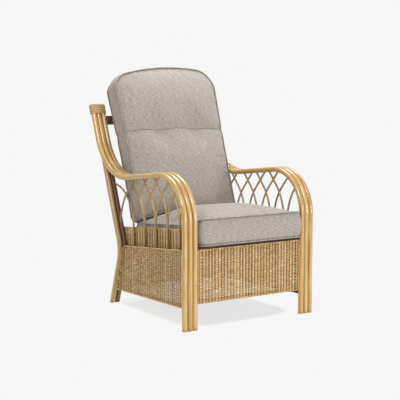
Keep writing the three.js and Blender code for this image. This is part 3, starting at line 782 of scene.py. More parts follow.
crossWeave = dict(
    panelWeave, strand=(0.0016, 0.00105), dash=0.0165, endShade=0.0, cluster=0.0, stakeTone=(0.36, 0.15),
    lift=-0.03, edgeTone=0.05, ribDepth=1.1, spread=(0.14, 0.17), specks=0.005)
bandWeave = dict(
    panelWeave, stakePitch=0.0215, stake=(0.0042, 0.0013), strand=(0.0016, 0.0008), sway=0.0021,
    border=0.0028, endShade=0.3, cluster=0.0, specks=0.004, lift=0.14, stakeTone=(0.34, 0.1))


def passTones(style, rows, columns, draws):
    # one tone for each pass of a strand over a stake: a share of its stake's, a share of its own, and a few
    # very pale ones of painted light, thickest round the cluster's middle
    level = (np.arange(rows)[:, None] + 0.5) / rows
    part = (np.arange(columns) + 0.5) / columns
    off = [(value - middle) / reach for value, middle, reach in zip(
        (part, level), style["clusterMiddle"], style["clusterReach"])]
    share = style["specks"] + style["cluster"] * np.exp(-off[0] ** 2 - off[1] ** 2)
    specks = draws.uniform(0, 1, (rows, columns)) < share
    byColumn, byPass = style["spread"]
    tones = draws.normal(0, byColumn, columns) + draws.normal(0, byPass, (rows, columns))
    # painted light: the pale specks
    return tones + style["speckTone"] * specks


def stakePlaces(style, field):
    # even places across the field, half a pitch in from its ends, and the pitch itself
    columns = round((field[1] - field[0]) / style["stakePitch"])
    pitch = (field[1] - field[0]) / columns
    return field[0] + pitch * (np.arange(columns) + 0.5), pitch


def strandMesh(name, style, place, up, span, foot, top, field, draws):
    # Rows run from the span's start to its end at each height, evenly spread between the foot and the top.
    # A strand's distance from the panel's plane is the cosine of its place among the stakes, and each row
    # is half a wave behind the one below. Its tone carries painted light over a stake and painted shade
    # between stakes, in dashes along both ends, under the top edge and where the far end lies close to the
    # leg.
    stakes, pitch = stakePlaces(style, field)
    columns = len(stakes)
    ends = np.array([span(part) for part in (0.0, 0.5, 1.0)])
    start, end = ends.min(0)[0], ends.max(0)[1]
    tall = (top(ends[:, 0]) - foot(ends[:, 0])).max()
    rows = int(tall / style["rowPitch"])
    samples = int((end - start) / pitch * style["perStake"])
    level = (np.arange(rows) + 0.5) / rows
    row = np.arange(rows)[:, None]
    first, last = np.array([span(part) for part in level]).T[..., None]
    p = first + (last - first) * np.linspace(0, 1, samples)
    q = foot(p) + (top(p) - foot(p)) * level[:, None]
    q = q + draws.normal(0, style["rowShift"], (rows, 1))
    among = (p - field[0]) / pitch - 0.5
    phase = np.pi * (among + row)
    section = circle(1.0, style["strandSides"]) * np.array(style["strand"])
    thick = 1 + draws.normal(0, style["thickShift"], (rows, 1))
    skin = sweep(place(p, q, style["sway"] * np.cos(phase)), up, section, thick)
    shift = draws.uniform(0, style["grainSpread"], (rows, 1, 1, 1)) * np.array([1, 1, 0])
    grain = grainOf(section, p) + shift
    column = np.clip(np.round(among), 0, columns - 1).astype(int)
    # painted light and shade: over is light on a stake and dark between; dashes, under and shade paint shadow
    # at the row ends, under the top border and near the leg
    over = np.abs(np.cos(phase)) ** style["ribDepth"]
    inward = np.minimum(p - first, last - p)
    dashes = np.exp(-((inward - style["dash"]) / style["dashWidth"]) ** 2) * (row % 4 < 2)
    shaded = (draws.uniform(0, 1, columns) < style["underShare"])[column]
    under = np.exp(-((top(p) - q) / style["rowPitch"]) ** 2) * shaded
    shade = style["endShade"] * np.exp((p - last) / style["endReach"])
    tone = over * (1 + passTones(style, rows, columns, draws)[row, column])
    tone = tone + style["lift"] - style["dashDepth"] * dashes - style["underDepth"] * under - shade
    tone = np.broadcast_to(tone[..., None], grain.shape[:3])
    return fillMesh(name, skin, tubeFaces(rows, samples, len(section)), {"grain": grain, "tone": tone})


def stakeMesh(name, style, place, span, foot, top, field, draws):
    # Oval stakes stand in their places, each as tall as the span leaves room for, and by turns a little in
    # front of the panel's plane and behind it.
    stakes = stakePlaces(style, field)[0]
    levels = np.linspace(0, 1, style["levels"])
    edges = np.array([span(part) for part in levels])
    inside = (stakes[:, None] > edges[:, 0]) & (stakes[:, None] < edges[:, 1])
    lowPart = np.where(inside, levels, 2).min(1)
    highPart = np.where(inside, levels, -1).max(1)
    kept = highPart > lowPart + style["shortestStake"]
    stakes, lowPart, highPart = stakes[kept], lowPart[kept], highPart[kept]
    rings, sides = style["stakeRings"], style["stakeSides"]
    parts = lowPart[:, None] + (highPart - lowPart)[:, None] * np.linspace(0, 1, rings)
    p = np.broadcast_to(stakes[:, None], parts.shape)
    q = foot(p) + (top(p) - foot(p)) * parts
    turn = np.where(np.arange(len(stakes)) % 2, -1.0, 1.0)[:, None]
    oval = circle(1.0, sides) * np.array(style["stake"])
    sideways = unit(place(1.0, 0.0, 0.0) - place(0.0, 0.0, 0.0))
    skin = sweep(place(p, q, style["lap"] * turn), sideways, oval)
    shift = draws.uniform(0, style["grainSpread"], (len(stakes), 1, 1, 1)) * np.array([1, 1, 0])
    grain = grainOf(oval, q) + shift
    own = draws.uniform(0, style["stakeOwn"], (len(stakes), 1, 1))
    middle, swing = style["stakeTone"]
    # painted light and shade: stakes in front of the plane are lighter and those behind darker; own is each
    # stake's random tone
    tone = np.broadcast_to((middle + swing * turn)[..., None] + own, grain.shape[:3])
    return fillMesh(name, skin, tubeFaces(len(stakes), rings, sides), {"grain": grain, "tone": tone})


def borderMesh(name, style, place, normal, corners, radii, seed):
    # A rod round the panel's edge whose radius rises once for each turn of the cane wound on it.
    draws = np.random.default_rng(seed)
    step, sides = style["wrap"] / style["wrapSteps"], style["borderSides"]
    loop = roundedLoop(corners, radii, step)
    marks = np.arange(len(loop)) * style["wrap"] / style["wrapSteps"]
    path = place(loop[:, 0], loop[:, 1], np.zeros(len(loop)))
    section = circle(style["border"], sides)
    turn = marks[:, None] / style["wrap"] + np.arange(sides) / sides
    ridge = np.abs(np.sin(np.pi * turn))
    skin = sweep(path, normal, section, 1.0, True)
    skin = path[:, None] + (skin - path[:, None]) * (1 + style["wrapRidge"] * (ridge[..., None] - 0.5))
    grain = grainOf(section, marks) * np.array(style["borderGrain"])
    turns = len(loop) // style["wrapSteps"]
    wound = draws.uniform(0, 1, turns + 2)[np.floor(turn).astype(int) % turns]
    # painted shade between the wound turns, lighter on each turn's crest; wound is each turn's own random
    # tone
    tone = style["edgeTone"] + style["ridgeTone"] * ridge + style["woundTone"] * wound
    return fillMesh(name, skin, tubeFaces(1, len(loop), sides, True), {"grain": grain, "tone": tone})


def putPanel(name, style, node, place, normal, up, corners, radii, span, foot, top, field, seed):
    # one panel: its strands, which stand for the CAD node, its stakes and its border
    draws = np.random.default_rng(seed)
    strands = strandMesh(name + "Strands", style, place, up, span, foot, top, field, draws)
    stakes = stakeMesh(name + "Stakes", style, place, span, foot, top, field, draws)
    border = borderMesh(name + "Border", style, place, normal, corners, radii, seed + 1)
    putPiece(strands.name, strands, wickerWeave, [node])
    putPiece(stakes.name, stakes, wickerStake)
    putPiece(border.name, border, borderWrap)


gap = 0.0003  # clear of the poles
inset = panelWeave["border"]
upright = np.array([0.0, 0.0, 1.0])
sidePanel = {
    "drop": 0.016, "frontGap": 0.082, "rearGap": 0.066, "corner": 0.026, "smallCorner": 0.006, "seed": 200,
}
panelFront = chair["frontY"] + chair["poleRadius"] + gap + inset
legEdge = rearFootY - (chair["poleRadius"] + gap + inset) / np.cos(splay)


def sideTop(y):
    # the top edge, parallel to the seat
    return seatLine(y) - (sidePanel["drop"] + inset) / np.cos(slope)


def sideFoot(y):
    # the lower edge, a straight line from the front legs to the rear feet
    part = (y - chair["frontY"]) / (rearFootY - chair["frontY"])
    return sidePanel["frontGap"] + inset + (sidePanel["rearGap"] - sidePanel["frontGap"]) * part


def legFace(z):
    # the rear edge at a height, along the splayed leg
    return legEdge - z * np.tan(splay)


def meet(face, height):
    # where a leaning edge meets a nearly level line, by a few rounds of substitution
    z = chair["kneeHeight"]
    for _ in range(12):
        z = height(face(z))
    return face(z), z


cornerFoot, cornerTop = meet(legFace, sideFoot), meet(legFace, sideTop)
sideEdge = panelWeave["edge"] - inset
sideField = panelFront + panelWeave["edge"] - inset, cornerFoot[0] - sideEdge / np.cos(splay)
sideCorners = [
    (panelFront, sideFoot(panelFront)), cornerFoot, cornerTop, (panelFront, sideTop(panelFront)),
]
sideRadii = [sidePanel["smallCorner"]] * 2 + [sidePanel["corner"], sidePanel["smallCorner"]]


def sideSpan(part):
    # The rear edge follows the leg, and leaves it along an arc under the top corner.
    z = cornerFoot[1] + (cornerTop[1] - cornerFoot[1]) * part
    below = np.clip((z - (cornerTop[1] - sidePanel["corner"])) / sidePanel["corner"], 0, 0.98)
    return panelFront, legFace(z) - sidePanel["corner"] * (1 - np.sqrt(1 - below ** 2))


def sidePlace(side, x):
    # p along y, q up, n outwards
    def place(p, q, n):
        p, q, n = np.broadcast_arrays(p, q, n)
        return np.stack([side * (x + n), p, q], -1)
    return place


for k, (hand, side) in enumerate(sideNames):
    putPanel(
        "sidePanel" + hand.title(), panelWeave, f"side_panel_{hand}", sidePlace(side, chair["middlePole"]),
        acrossX, upright, sideCorners, sideRadii, sideSpan, sideFoot, sideTop, sideField,
        sidePanel["seed"] + 10 * k)


def crossPlace(middle, rise):
    # p along x, q up the panel's own slope from its foot, n square to both
    rise = np.array(rise, float)
    out = np.cross(rise, acrossX)

    def place(p, q, n):
        p, q, n = np.broadcast_arrays(p, q, n)
        return middle + p[..., None] * acrossX + q[..., None] * rise + n[..., None] * out
    return place


edgePost = {
    "inset": 0.0085, "half": (0.0048, 0.0016), "sides": 10, "lift": 0.0042,
    "wrap": 0.0046, "tones": (0.95, 0.55),
}


def crossPanel(name, node, middle, rise, height, seed):
    # a rectangle between the legs, and a flat wrapped post inside each of its ends
    half = backFrame["halfWidth"] - inset
    corners = [(-half, inset), (half, inset), (half, height - inset), (-half, height - inset)]
    place = crossPlace(middle, rise)
    rise = np.array(rise, float)
    out = np.cross(rise, acrossX)
    field = half - crossWeave["edge"] + inset + gap
    putPanel(
        name, crossWeave, node, place, out, rise, corners, [sidePanel["smallCorner"]] * 4,
        lambda part: (-half, half), lambda p: inset + 0 * p, lambda p: height - inset + 0 * p,
        (-field, field), seed)
    posts = np.array([-1.0, 1.0]) * (half - edgePost["inset"])
    rows = int((height - 2 * inset) / edgePost["wrap"]) * 2
    q = np.broadcast_to(np.linspace(inset, height - inset, rows), (2, rows))
    section = circle(1.0, edgePost["sides"]) * np.array(edgePost["half"])
    skin = sweep(place(posts[:, None], q, edgePost["lift"]), acrossX, section)
    grain = grainOf(section, q)
    # painted shade: every other row, between the wound turns, is darker
    tone = np.broadcast_to(np.resize(edgePost["tones"], rows)[:, None], grain.shape[:3])
    faces = tubeFaces(2, rows, edgePost["sides"])
    mesh = fillMesh(name + "Posts", skin, faces, {"grain": grain, "tone": tone})
    putPiece(mesh.name, mesh, wickerStake)


low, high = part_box("front_panel")
frontPanel = {"seed": 230}
frontPanelFoot = np.array([0.0, (low.y + high.y) / 2, low.z])
crossPanel("frontPanel", "front_panel", frontPanelFoot, upright, high.z - low.z, frontPanel["seed"])
low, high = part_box("rear_panel")
rearPanel = {"floorGap": 0.075, "lowestTop": 0.0765, "underRail": 0.0065, "seed": 240}
riseRear = (0.0, -np.sin(splay), np.cos(splay))
rearPanelFoot = np.array([0.0, rearFootY - rearPanel["floorGap"] * np.tan(splay), rearPanel["floorGap"]])
rearPanelHeight = (high.z - rearPanel["lowestTop"]) / np.cos(splay) + rearPanel["underRail"]
crossPanel("rearPanel", "rear_panel", rearPanelFoot, riseRear, rearPanelHeight, rearPanel["seed"])
print("panels woven")

# Inner bands: the same weave, on the inside of the lattice

band = {"x": 0.2604, "tuck": 0.030, "inset": 0.0036, "behindLeg": 0.004, "corner": 0.003, "seed": 260}


def bandFoot(y):
    # the lower edge, tucked in below the seat's line
    return seatLine(y) - (band["tuck"] - band["inset"]) / np.cos(slope)


def bandHead(y):
    # the upper edge, just inside the band's top
    return bandTop(y) - band["inset"] / np.cos(slope)


upperFace = upperLeg[0] + band["behindLeg"] / np.cos(lean)


def upperLegFace(z):
    # the rear edge at a height, along the leaning leg
    return upperFace + (z - upperLeg[1]) * np.tan(lean)


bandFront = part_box("inner_band_left")[0].y + band["inset"]
bandCorners = [
    (bandFront, bandFoot(bandFront)),
    meet(upperLegFace, bandFoot),
    meet(upperLegFace, bandHead),
    (bandFront, bandHead(bandFront)),
]
bandField = bandFront, bandCorners[2][0]


def bandSpan(part):
    # from the front to the leaning leg, at a part of the height
    low, high = bandCorners[1][1], bandCorners[2][1]
    return bandFront, upperLegFace(low + (high - low) * part)


for k, (hand, side) in enumerate(sideNames):
    putPanel(
        "innerBand" + hand.title(), bandWeave, f"inner_band_{hand}", sidePlace(side, band["x"]), acrossX,
        upright, bandCorners, [band["corner"]] * 4, bandSpan, bandFoot, bandHead, bandField,
        band["seed"] + 10 * k)
print("inner bands woven")

# Cushions

padGrid = {
    "faceStep": 0.006, "edgeStep": 0.004, "faceRings": 40, "innermost": 0.0004, "borderRings": 11,
    "smooth": 0.5, "smoothRounds": 3, "shyOfFace": 0.999, "borderTilt": 0.6,
}


def padOutline(pad, step):
    # the cushion's rounded rectangle, as a closed loop in a and b from -1 to 1
    half, length = pad["width"] / 2, pad["length"]
    corners = np.array([(-1, 0), (1, 0), (1, 1), (-1, 1)]) * np.array([half, length])
    return roundedLoop(corners, pad["corners"], step) / np.array([half, length / 2]) - np.array([0, 1])


def padPoints(pad):
    # Rings of the outline shrink to the middle of each face, and go straight down the border between them.
    part = np.sqrt(np.linspace(padGrid["innermost"], 1, padGrid["faceRings"]))
    border = np.linspace(1, -1, padGrid["borderRings"] + 2)[1:-1]
    shrink = np.concatenate([part, np.ones(len(border)), part[::-1]])
    through = np.concatenate([np.ones(len(part)), border, -np.ones(len(part))])
    ab = shrink[:, None, None] * padOutline(pad, padGrid["faceStep"])
    a, b = ab[..., 0], ab[..., 1]
    return shapePad(pad, a, b, np.broadcast_to(through[:, None], a.shape))


def sideDrop(pad, a, b):
    # how far the top sinks towards the left and right edges: as |a|^5, from a little behind the front
    return np.where(a < 0, *pad["slump"]) * np.abs(a) ** 5 * np.clip((b + 1) / 0.5, 0, 1)


def shapePad(pad, a, b, c):
    # A boxed cushion in its own measures, across, along and through, for a, b and c from -1 to 1. A face has
    # a crown of (1 - |a|^3)(1 - |b|^3), and the border swells as 1 - c^2. The sides are drawn in as 1 - b^2,
    # flare and lean over towards the head, and spill out at the foot. The head arches as 1 - a^2 and tilts
    # with a. The top's side edges sink, the foot of the far face goes back as b^2, and the seam and its two
    # tufts are bell-shaped hollows.
    full = (1 - np.abs(a) ** 3) * (1 - np.abs(b) ** 3)
    swell = pad["swell"] * (1 - c ** 2)
    x = a * (pad["width"] / 2 - pad["drawIn"] * (1 - b ** 2) + pad["flare"] * (1 + b) / 2 + swell)
    x = x + pad["skew"] * (1 + b) / 2 * (0.4 + 0.6 * a)
    head = np.clip(b, 0, 1) ** 3
    along = (b + 1) / 2 * pad["length"] + b * swell + (pad["arch"] * (1 - a ** 2) + pad["tilt"] * a) * head
    through = (c + 1) / 2 * pad["thickness"]
    through = through + np.where(c >= 1, pad["crown"], np.where(c <= -1, -pad["rearCrown"], 0)) * full
    through = through - sideDrop(pad, a, b) * (c + 1) / 2
    through = through - pad["heel"] * np.clip(-b, 0, 1) ** 2 * (1 - c) / 2
    x = x + a * pad["spill"] * np.clip(1 - along / pad["overhang"], 0, 1)
    if pad["seam"]:
        offSeam = along - pad["seam"]
        grooveShade = np.exp(-(offSeam / pad["seamReach"]) ** 2)
        x = x - a * pad["notch"] * grooveShade
        offTuft = (np.abs(x) - pad["tuft"]) ** 2 + offSeam ** 2
        dip = pad["seamDepth"] * grooveShade + pad["tuftDepth"] * np.exp(-offTuft / pad["tuftReach"] ** 2)
        through = through - np.where(c >= 1, dip * (1 - a ** 8), 0)
    return np.stack([x, along, through], -1)


def edgeLoop(pad, level):
    # the outline at one level of the border: 1 and -1 are the edges of the two faces
    a, b = padOutline(pad, padGrid["edgeStep"]).T
    return shapePad(pad, a, b, np.full(len(a), padGrid["shyOfFace"] * level))


def toWorld(pad, points):
    # from the cushion's own measures to the chair's
    across = points[..., :1] * acrossX
    return pad["origin"] + across + points[..., 1:2] * pad["up"] + points[..., 2:] * pad["out"]


def toPad(pad, points):
    # and back
    offset = points - pad["origin"]
    return np.stack([offset[..., 0], offset @ pad["up"], offset @ pad["out"]], -1)


def evaluated(piece):
    # the mesh a piece has after its modifiers
    graph = bpy.context.evaluated_depsgraph_get()
    return bpy.data.meshes.new_from_object(piece.evaluated_get(graph))


def coordinates(mesh):
    # a mesh's points, one to a row
    flat = np.empty(len(mesh.vertices) * 3, np.float32)
    mesh.vertices.foreach_get("co", flat)
    return flat.reshape(-1, 3).astype(float)


def remeshed(pad, points):
    # even cells all over, smoothed, still in the cushion's own measures
    rough = fillMesh("rough", points, tubeFaces(1, *points.shape[:2]), {})
    piece = bpy.data.objects.new("rough", rough)
    bpy.context.scene.collection.objects.link(piece)
    remesh = piece.modifiers.new("cells", "REMESH")
    remesh.mode = "VOXEL"
    remesh.voxel_size = pad["cell"]
    smooth = piece.modifiers.new("smooth", "SMOOTH")
    smooth.factor = padGrid["smooth"]
    smooth.iterations = padGrid["smoothRounds"]
    mesh = evaluated(piece)
    bpy.data.objects.remove(piece)
    return mesh


cover = {"frames": 20, "quality": 4, "mass": 0.3, "stiffness": 12, "bending": 0.4}


def plumped(pad, mesh, held):
    # Cloth under pressure from inside, with some of its points held; how far it moves is capped.
    piece = bpy.data.objects.new("plump", mesh)
    bpy.context.scene.collection.objects.link(piece)
    start = coordinates(mesh)
    group = piece.vertex_groups.new(name="held")
    group.add(np.flatnonzero(held).tolist(), 1.0, "REPLACE")
    sheet = piece.modifiers.new("sheet", "CLOTH")
    settings = sheet.settings
    settings.quality = cover["quality"]
    settings.mass = cover["mass"]
    settings.tension_stiffness = cover["stiffness"]
    settings.compression_stiffness = cover["stiffness"]
    settings.bending_stiffness = cover["bending"]
    settings.shrink_min = pad["slack"]
    settings.use_pressure = True
    settings.uniform_pressure_force = pad["pressure"]
    settings.vertex_group_mass = "held"
    settings.effector_weights.gravity = 0
    sheet.point_cache.frame_start = 1
    sheet.point_cache.frame_end = cover["frames"]
    for moment in range(1, cover["frames"] + 1):
        bpy.context.scene.frame_set(moment)
    graph = bpy.context.evaluated_depsgraph_get()
    moved = coordinates(piece.evaluated_get(graph).data) - start
    bpy.context.scene.frame_set(1)
    bpy.data.objects.remove(piece)
    far = np.linalg.norm(moved, axis=1, keepdims=True)
    return start + moved * np.minimum(1, pad["cap"] / np.maximum(far, 1e-9))


def edgeGaps(points, loop):
    # distances across and along between every point and every point of the outline
    return np.linalg.norm(points[:, None, :2] - loop[None, :, :2], axis=2)


def clothPlane(mesh, points, loop):
    # The faces are laid flat across and along; the border runs round the outline and through.
    counts = np.empty(len(mesh.polygons), np.int32)
    mesh.polygons.foreach_get("loop_total", counts)
    normals = np.empty(len(mesh.polygons) * 3, np.float32)
    mesh.polygons.foreach_get("normal", normals)
    corners = np.empty(len(mesh.loops), np.int32)
    mesh.loops.foreach_get("vertex_index", corners)
    isBorder = np.repeat(np.abs(normals.reshape(-1, 3)[:, 2]) < padGrid["borderTilt"], counts)
    flat = points[:, :2]
    border = np.stack([edgeGaps(points, loop).argmin(1) * padGrid["edgeStep"], points[:, 2]], 1)
    plane = np.where(isBorder[:, None], border[corners], flat[corners])
    mesh.uv_layers.new(name="cloth")
    mesh.uv_layers["cloth"].data.foreach_set("uv", plane.astype(np.float32).ravel())


weltCord = {"sides": 10, "sewnFrom": 0.5, "sewnReach": 0.4, "sewnShade": 0.5, "clothStep": 0.0014}


def putWelt(pad, word, level, settle):
    # A cord round one edge, with painted shade on both sides where it is sewn in.
    path = edgeLoop(pad, level)
    sides = weltCord["sides"]
    middle = np.array([0, pad["length"] / 2, pad["thickness"] / 2])
    outward = unit((path - middle) * np.array([1, 1, 0])) + np.array([0, 0, level])
    path = path + unit(outward) * pad["weltOut"]
    section = circle(pad["welt"], sides)
    skin = sweep(settle(toWorld(pad, path), pad["welt"]), pad["out"], section, 1.0, True)
    spokes = unit(skin - skin.mean(1, keepdims=True))
    corner = unit(toWorld(pad, outward) - pad["origin"])
    facing = np.clip((spokes * corner[:, None]).sum(-1), 0, 1)
    # painted shade on the cord where it meets the cloth
    sewn = np.clip((weltCord["sewnFrom"] - facing) / weltCord["sewnReach"], 0, 1)
    faces = tubeFaces(1, len(path), sides, True)
    marks = {"crease": weltCord["sewnShade"] * sewn, "line": np.ones(skin.shape[:2])}
    mesh = fillMesh(pad["name"] + "Welt" + word, skin, faces, marks)
    along = np.arange(len(path))[:, None] * padGrid["edgeStep"]
    around = np.arange(sides) * weltCord["clothStep"]
    plane = np.stack(np.broadcast_arrays(along, around), -1).reshape(-1, 2)[faces[0].ravel()]
    mesh.uv_layers.new(name="cloth").data.foreach_set("uv", plane.astype(np.float32).ravel())
    putPiece(mesh.name, mesh, cloth, [], pad["body"])


sewing = {
    "weltGap": 0.010, "weltDepth": 0.008, "hiddenShare": 0.25, "seamGap": 0.006, "seamShare": 0.5,
    "frontShare": 0.75, "creaseWidth": 0.004, "shadeReach": 0.005, "clear": 0.001,
}


def heldPoints(pad, points, loop):
    # the cover is held at its welts and seam, on its hidden face and where the other cushion meets it
    thick = pad["thickness"]
    fromFace = np.abs(np.abs(points[:, 2] - thick / 2) - thick / 2)
    held = (edgeGaps(points, loop).min(1) < sewing["weltGap"]) & (fromFace < sewing["weltDepth"])
    held |= points[:, 2] < sewing["hiddenShare"] * thick
    held |= pad["heldAlong"](points)
    if pad["seam"]:
        atSeam = np.abs(points[:, 1] - pad["seam"]) < sewing["seamGap"]
        held |= atSeam & (points[:, 2] > thick * sewing["seamShare"])
    return held


def makePad(pad, settle):
    # one cushion: its cover, plumped, creased at the seam and settled in its place, and a cord at each edge
    loop = edgeLoop(pad, 0)
    welts = np.concatenate([edgeLoop(pad, 1), edgeLoop(pad, -1)])
    mesh = remeshed(pad, padPoints(pad))
    points = coordinates(mesh)
    fromWelt = np.sqrt(((points[:, None] - welts) ** 2).sum(2).min(1))
    # the swelling dies away at the welts, so that the cords stand proud
    free = 1 - np.exp(-(fromWelt / pad["weltReach"]) ** 2)
    points = points + (plumped(pad, mesh, heldPoints(pad, points, loop)) - points) * free[:, None]
    line = np.ones(len(points))
    if pad["seam"]:
        front = points[:, 2] > pad["thickness"] * sewing["frontShare"]
        line = points[:, 1] - pad["seam"]
        points[:, 2] -= np.where(front, pad["crease"] * np.exp(-(line / sewing["creaseWidth"]) ** 2), 0)
        line = np.where(front, line, np.sign(line))
    clothPlane(mesh, points, loop)
    world = settle(toWorld(pad, points), sewing["clear"])
    mesh.vertices.foreach_set("co", world.astype(np.float32).ravel())
    # painted shade along both sides of each welt
    crease = pad["weltShade"] * np.exp(-(fromWelt / sewing["shadeReach"]) ** 2)
    for key, values in (("crease", crease), ("line", line)):
        mesh.attributes.new(key, "FLOAT", "POINT").data.foreach_set("value", values.astype(np.float32))
    mesh.polygons.foreach_set("use_smooth", np.ones(len(mesh.polygons), bool))
    mesh.update()
    piece = putPiece(pad["name"], mesh, cloth, [pad["node"]], pad["body"])
    finer = piece.modifiers.new("finer", "SUBSURF")
    finer.levels = finer.render_levels = 1
    for word, level in (("Near", 1), ("Far", -1)):
        putWelt(pad, word, level, settle)


seatPad = {
    "name": "seatCushion", "node": "seat_cushion", "body": "seat_pad",
    "origin": np.array([0.0, chair["frontY"] - 0.036, 0.34340]),
    "up": np.array([0.0, np.cos(slope), -np.sin(slope)]),
    "out": np.array([0.0, np.sin(slope), np.cos(slope)]),
    "width": 0.5009, "length": 0.544, "thickness": 0.104, "corners": [0.046, 0.053, 0.026, 0.026],
    "crown": 0.022, "rearCrown": 0.0, "rise": 0.008, "swell": 0.008, "drawIn": 0.004,
    "flare": 0.0, "skew": 0.0, "arch": 0.0, "tilt": 0.0, "slump": (0.026, 0.008), "heel": 0.0,
    "spill": 0.016, "overhang": 0.030, "seam": 0.0,
    "cell": 0.006, "slack": -0.02, "pressure": 3.6, "cap": 0.024, "fill": 0.75,
    "welt": 0.0030, "weltOut": 0.0012, "weltReach": 0.016, "weltShade": 0.6,
    "heldAlong": lambda points: points[:, 1] > 0.43,
}
backPad = {
    "name": "backCushion", "node": "back_cushion", "body": "back_pad",
    "origin": np.array([0.0, 0.15015, 0.4006]) - 0.022 * leanUp, "up": leanUp, "out": leanFront,
    "width": 0.5009, "length": 0.665, "thickness": 0.080, "corners": [0.030, 0.030, 0.082, 0.062],
    "crown": 0.040, "rearCrown": 0.022, "swell": 0.007, "drawIn": 0.004,
    "flare": 0.008, "skew": 0.020, "arch": 0.036, "tilt": 0.013, "slump": (0.0, 0.0), "heel": 0.018,
    "spill": 0.0, "overhang": 1.0,
    "seam": 0.394, "seamReach": 0.016, "seamDepth": 0.006, "notch": 0.004, "crease": 0.002,
    "tuft": 0.095, "tuftDepth": 0.021, "tuftReach": 0.044,
    "cell": 0.0066, "slack": -0.02, "pressure": 3.2, "cap": 0.022, "fill": 0.7,
    "welt": 0.0030, "weltOut": 0.0012, "weltReach": 0.016, "weltShade": 0.6,
    "heldAlong": lambda points: points[:, 1] < 0.05,
}
onSeat = {"behind": 0.008, "ease": 0.006}


def asIs(points, margin):
    # the seat cushion has nothing to settle on
    return points


def aboveSeat(points, margin):
    # lifts along the back whatever would be lower than the seat cushion's crown
    local = toPad(seatPad, points)
    a = np.clip(local[..., 0] / (seatPad["width"] / 2), -1, 1)
    b = np.clip(2 * local[..., 1] / seatPad["length"] - 1, -1, 1)
    crown = seatPad["crown"] + seatPad["rise"]
    full = crown * (1 - np.abs(a) ** 3) * (1 - np.abs(b) ** 3)
    surface = seatPad["thickness"] + full - sideDrop(seatPad, a, b)
    over = np.clip((seatPad["length"] + onSeat["behind"] - local[..., 1]) / onSeat["ease"], 0, 1)
    lack = np.maximum(0, surface + margin - local[..., 2]) * over
    return points + (lack / (leanUp @ seatPad["out"]))[..., None] * leanUp


makePad(seatPad, asIs)
makePad(backPad, aboveSeat)
print("cushions plumped")

# What stays as CAD

# the seat rails get painted shade; the slats plain wood, the side braces dark rattan
cadFinish = {
    "seat_slat": plainWood, "seat_rail": shadedWood, "brace_left": darkRattan, "brace_right": darkRattan,
}
for node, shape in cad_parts.items():
    for start, finish in cadFinish.items():
        if node.startswith(start):
            shape.data.materials.clear()
            shape.data.materials.append(finish)

# Stage: a pale floor that fades into the backdrop, soft lamps, and one lamp that only the lacquer mirrors

stage = {
    "pale": "f6f6f6", "ambient": 0.55,
    "floorGrey": 0.8, "floorHalf": 7, "floorCells": 8, "floorHeight": -0.0005,
    "footprint": (0.16, 0.22), "middleY": -0.01, "fade": (0.0, 0.14), "shade": 0.22,
    "lamps": {
        "key": {"place": (0.5, 0.8, 3.3), "size": 1.6, "power": 84},
        "front": {"place": (1.6, -7.2, 1.0), "size": 2.4, "power": 305},
        "fill": {"place": (-3.2, -0.9, 1.9), "size": 1.4, "power": 22},
        "gloss": {"place": (-2.1, -2.4, 3.0), "size": 1.6, "power": 96},
    },
    "lampAim": (0, 0, 0.45),
    "camera": (-2.3037, -3.4996, 0.9161), "azimuth": 33.42, "pitch": 6.02, "lens": 85.5, "sensor": 36,
}
scene = bpy.context.scene
scene.view_settings.view_transform = "Standard"
world = bpy.data.worlds.new("studio")
world.use_nodes = True
scene.world = world
sky = Nodes(world.node_tree)


def seenDirectly(nodes):
    # 1 for rays from the camera, in a mirror or through glass; 0 for light that falls on the chair
    kinds = ("Is Camera Ray", "Is Glossy Ray", "Is Transmission Ray")
    camera, glossy, through = [nodes.node("LightPath", {}, {}, kind) for kind in kinds]
    return nodes.maths("MINIMUM", camera + glossy + through, 1.0)


def greyOf(level):
    return (level, level, level, 1.0)


direct = seenDirectly(sky)
background = world.node_tree.nodes["Background"]
sky.join(sky.blend(direct, greyOf(stage["ambient"]), tint(stage["pale"])), background.inputs["Color"])

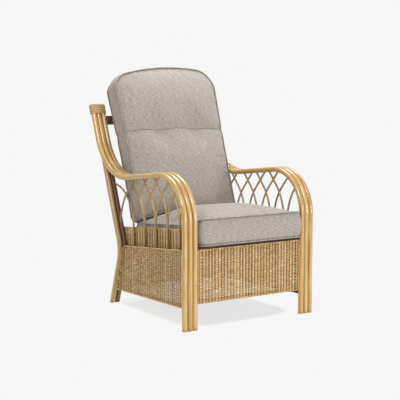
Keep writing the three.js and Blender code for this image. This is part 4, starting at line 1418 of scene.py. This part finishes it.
floorFinish = Finish("floor", {
    "Base Color": greyOf(stage["floorGrey"]), "Roughness": 0.9, "Specular IOR Level": 0.0,
})
position = floorFinish.node("TexCoord", {}, {}, "Object")
across = floorFinish.maths("ABSOLUTE", floorFinish.axis(position, 0), 0.0)
depth = floorFinish.maths("ABSOLUTE", floorFinish.axis(position, 1) - stage["middleY"], 0.0)
beside = floorFinish.maths("MAXIMUM", across - stage["footprint"][0], 0.0)
before = floorFinish.maths("MAXIMUM", depth - stage["footprint"][1], 0.0)
distance = (beside * beside + before * before) ** 0.5
away = floorFinish.ease(distance, *stage["fade"])
looked = seenDirectly(floorFinish) * (1 - stage["shade"])
away = floorFinish.maths("MAXIMUM", away, looked)
glow = floorFinish.node("Emission", {}, {"Color": tint(stage["pale"]), "Strength": 1.0})
lit = Value(floorFinish, floorFinish.surface.outputs[0])
mixed = floorFinish.node("MixShader", {}, {0: away, 1: lit, 2: glow})
floorFinish.join(mixed, floorFinish.tree.nodes["Material Output"].inputs["Surface"])
cells = stage["floorCells"]
lines = np.linspace(-stage["floorHalf"], stage["floorHalf"], cells + 1)
ground = np.stack(np.meshgrid(lines, lines, [stage["floorHeight"]], indexing="ij"), -1)
row, column = np.meshgrid(np.arange(cells), np.arange(cells), indexing="ij")
corner = row * (cells + 1) + column
groundQuads = np.stack([corner, corner + cells + 1, corner + cells + 2, corner + 1], -1).reshape(-1, 4)
floorMesh = fillMesh("floor", ground, (groundQuads, np.zeros((0, 4), int)), {})
floorMesh.materials.append(floorFinish.material)
floor = bpy.data.objects.new("floor", floorMesh)
scene.collection.objects.link(floor)

for name, made in stage["lamps"].items():
    lamp = bpy.data.lights.new(name, "AREA")
    lamp.shape = "DISK"
    lamp.size = made["size"]
    lamp.energy = made["power"]
    light = bpy.data.objects.new(name, lamp)
    light.location = made["place"]
    light.visible_diffuse = name != "gloss"
    light.rotation_euler = (Vector(stage["lampAim"]) - light.location).to_track_quat("-Z", "Y").to_euler()
    scene.collection.objects.link(light)

view = bpy.data.cameras.new("view")
view.sensor_width = stage["sensor"]
view.lens = stage["lens"]
camera = bpy.data.objects.new("view", view)
camera.location = stage["camera"]
azimuth, pitch = np.radians(stage["azimuth"]), np.radians(stage["pitch"])
forward = Vector((np.sin(azimuth) * np.cos(pitch), np.cos(azimuth) * np.cos(pitch), -np.sin(pitch)))
camera.rotation_euler = forward.to_track_quat("-Z", "Y").to_euler()
scene.collection.objects.link(camera)
scene.camera = camera
print("stage set")
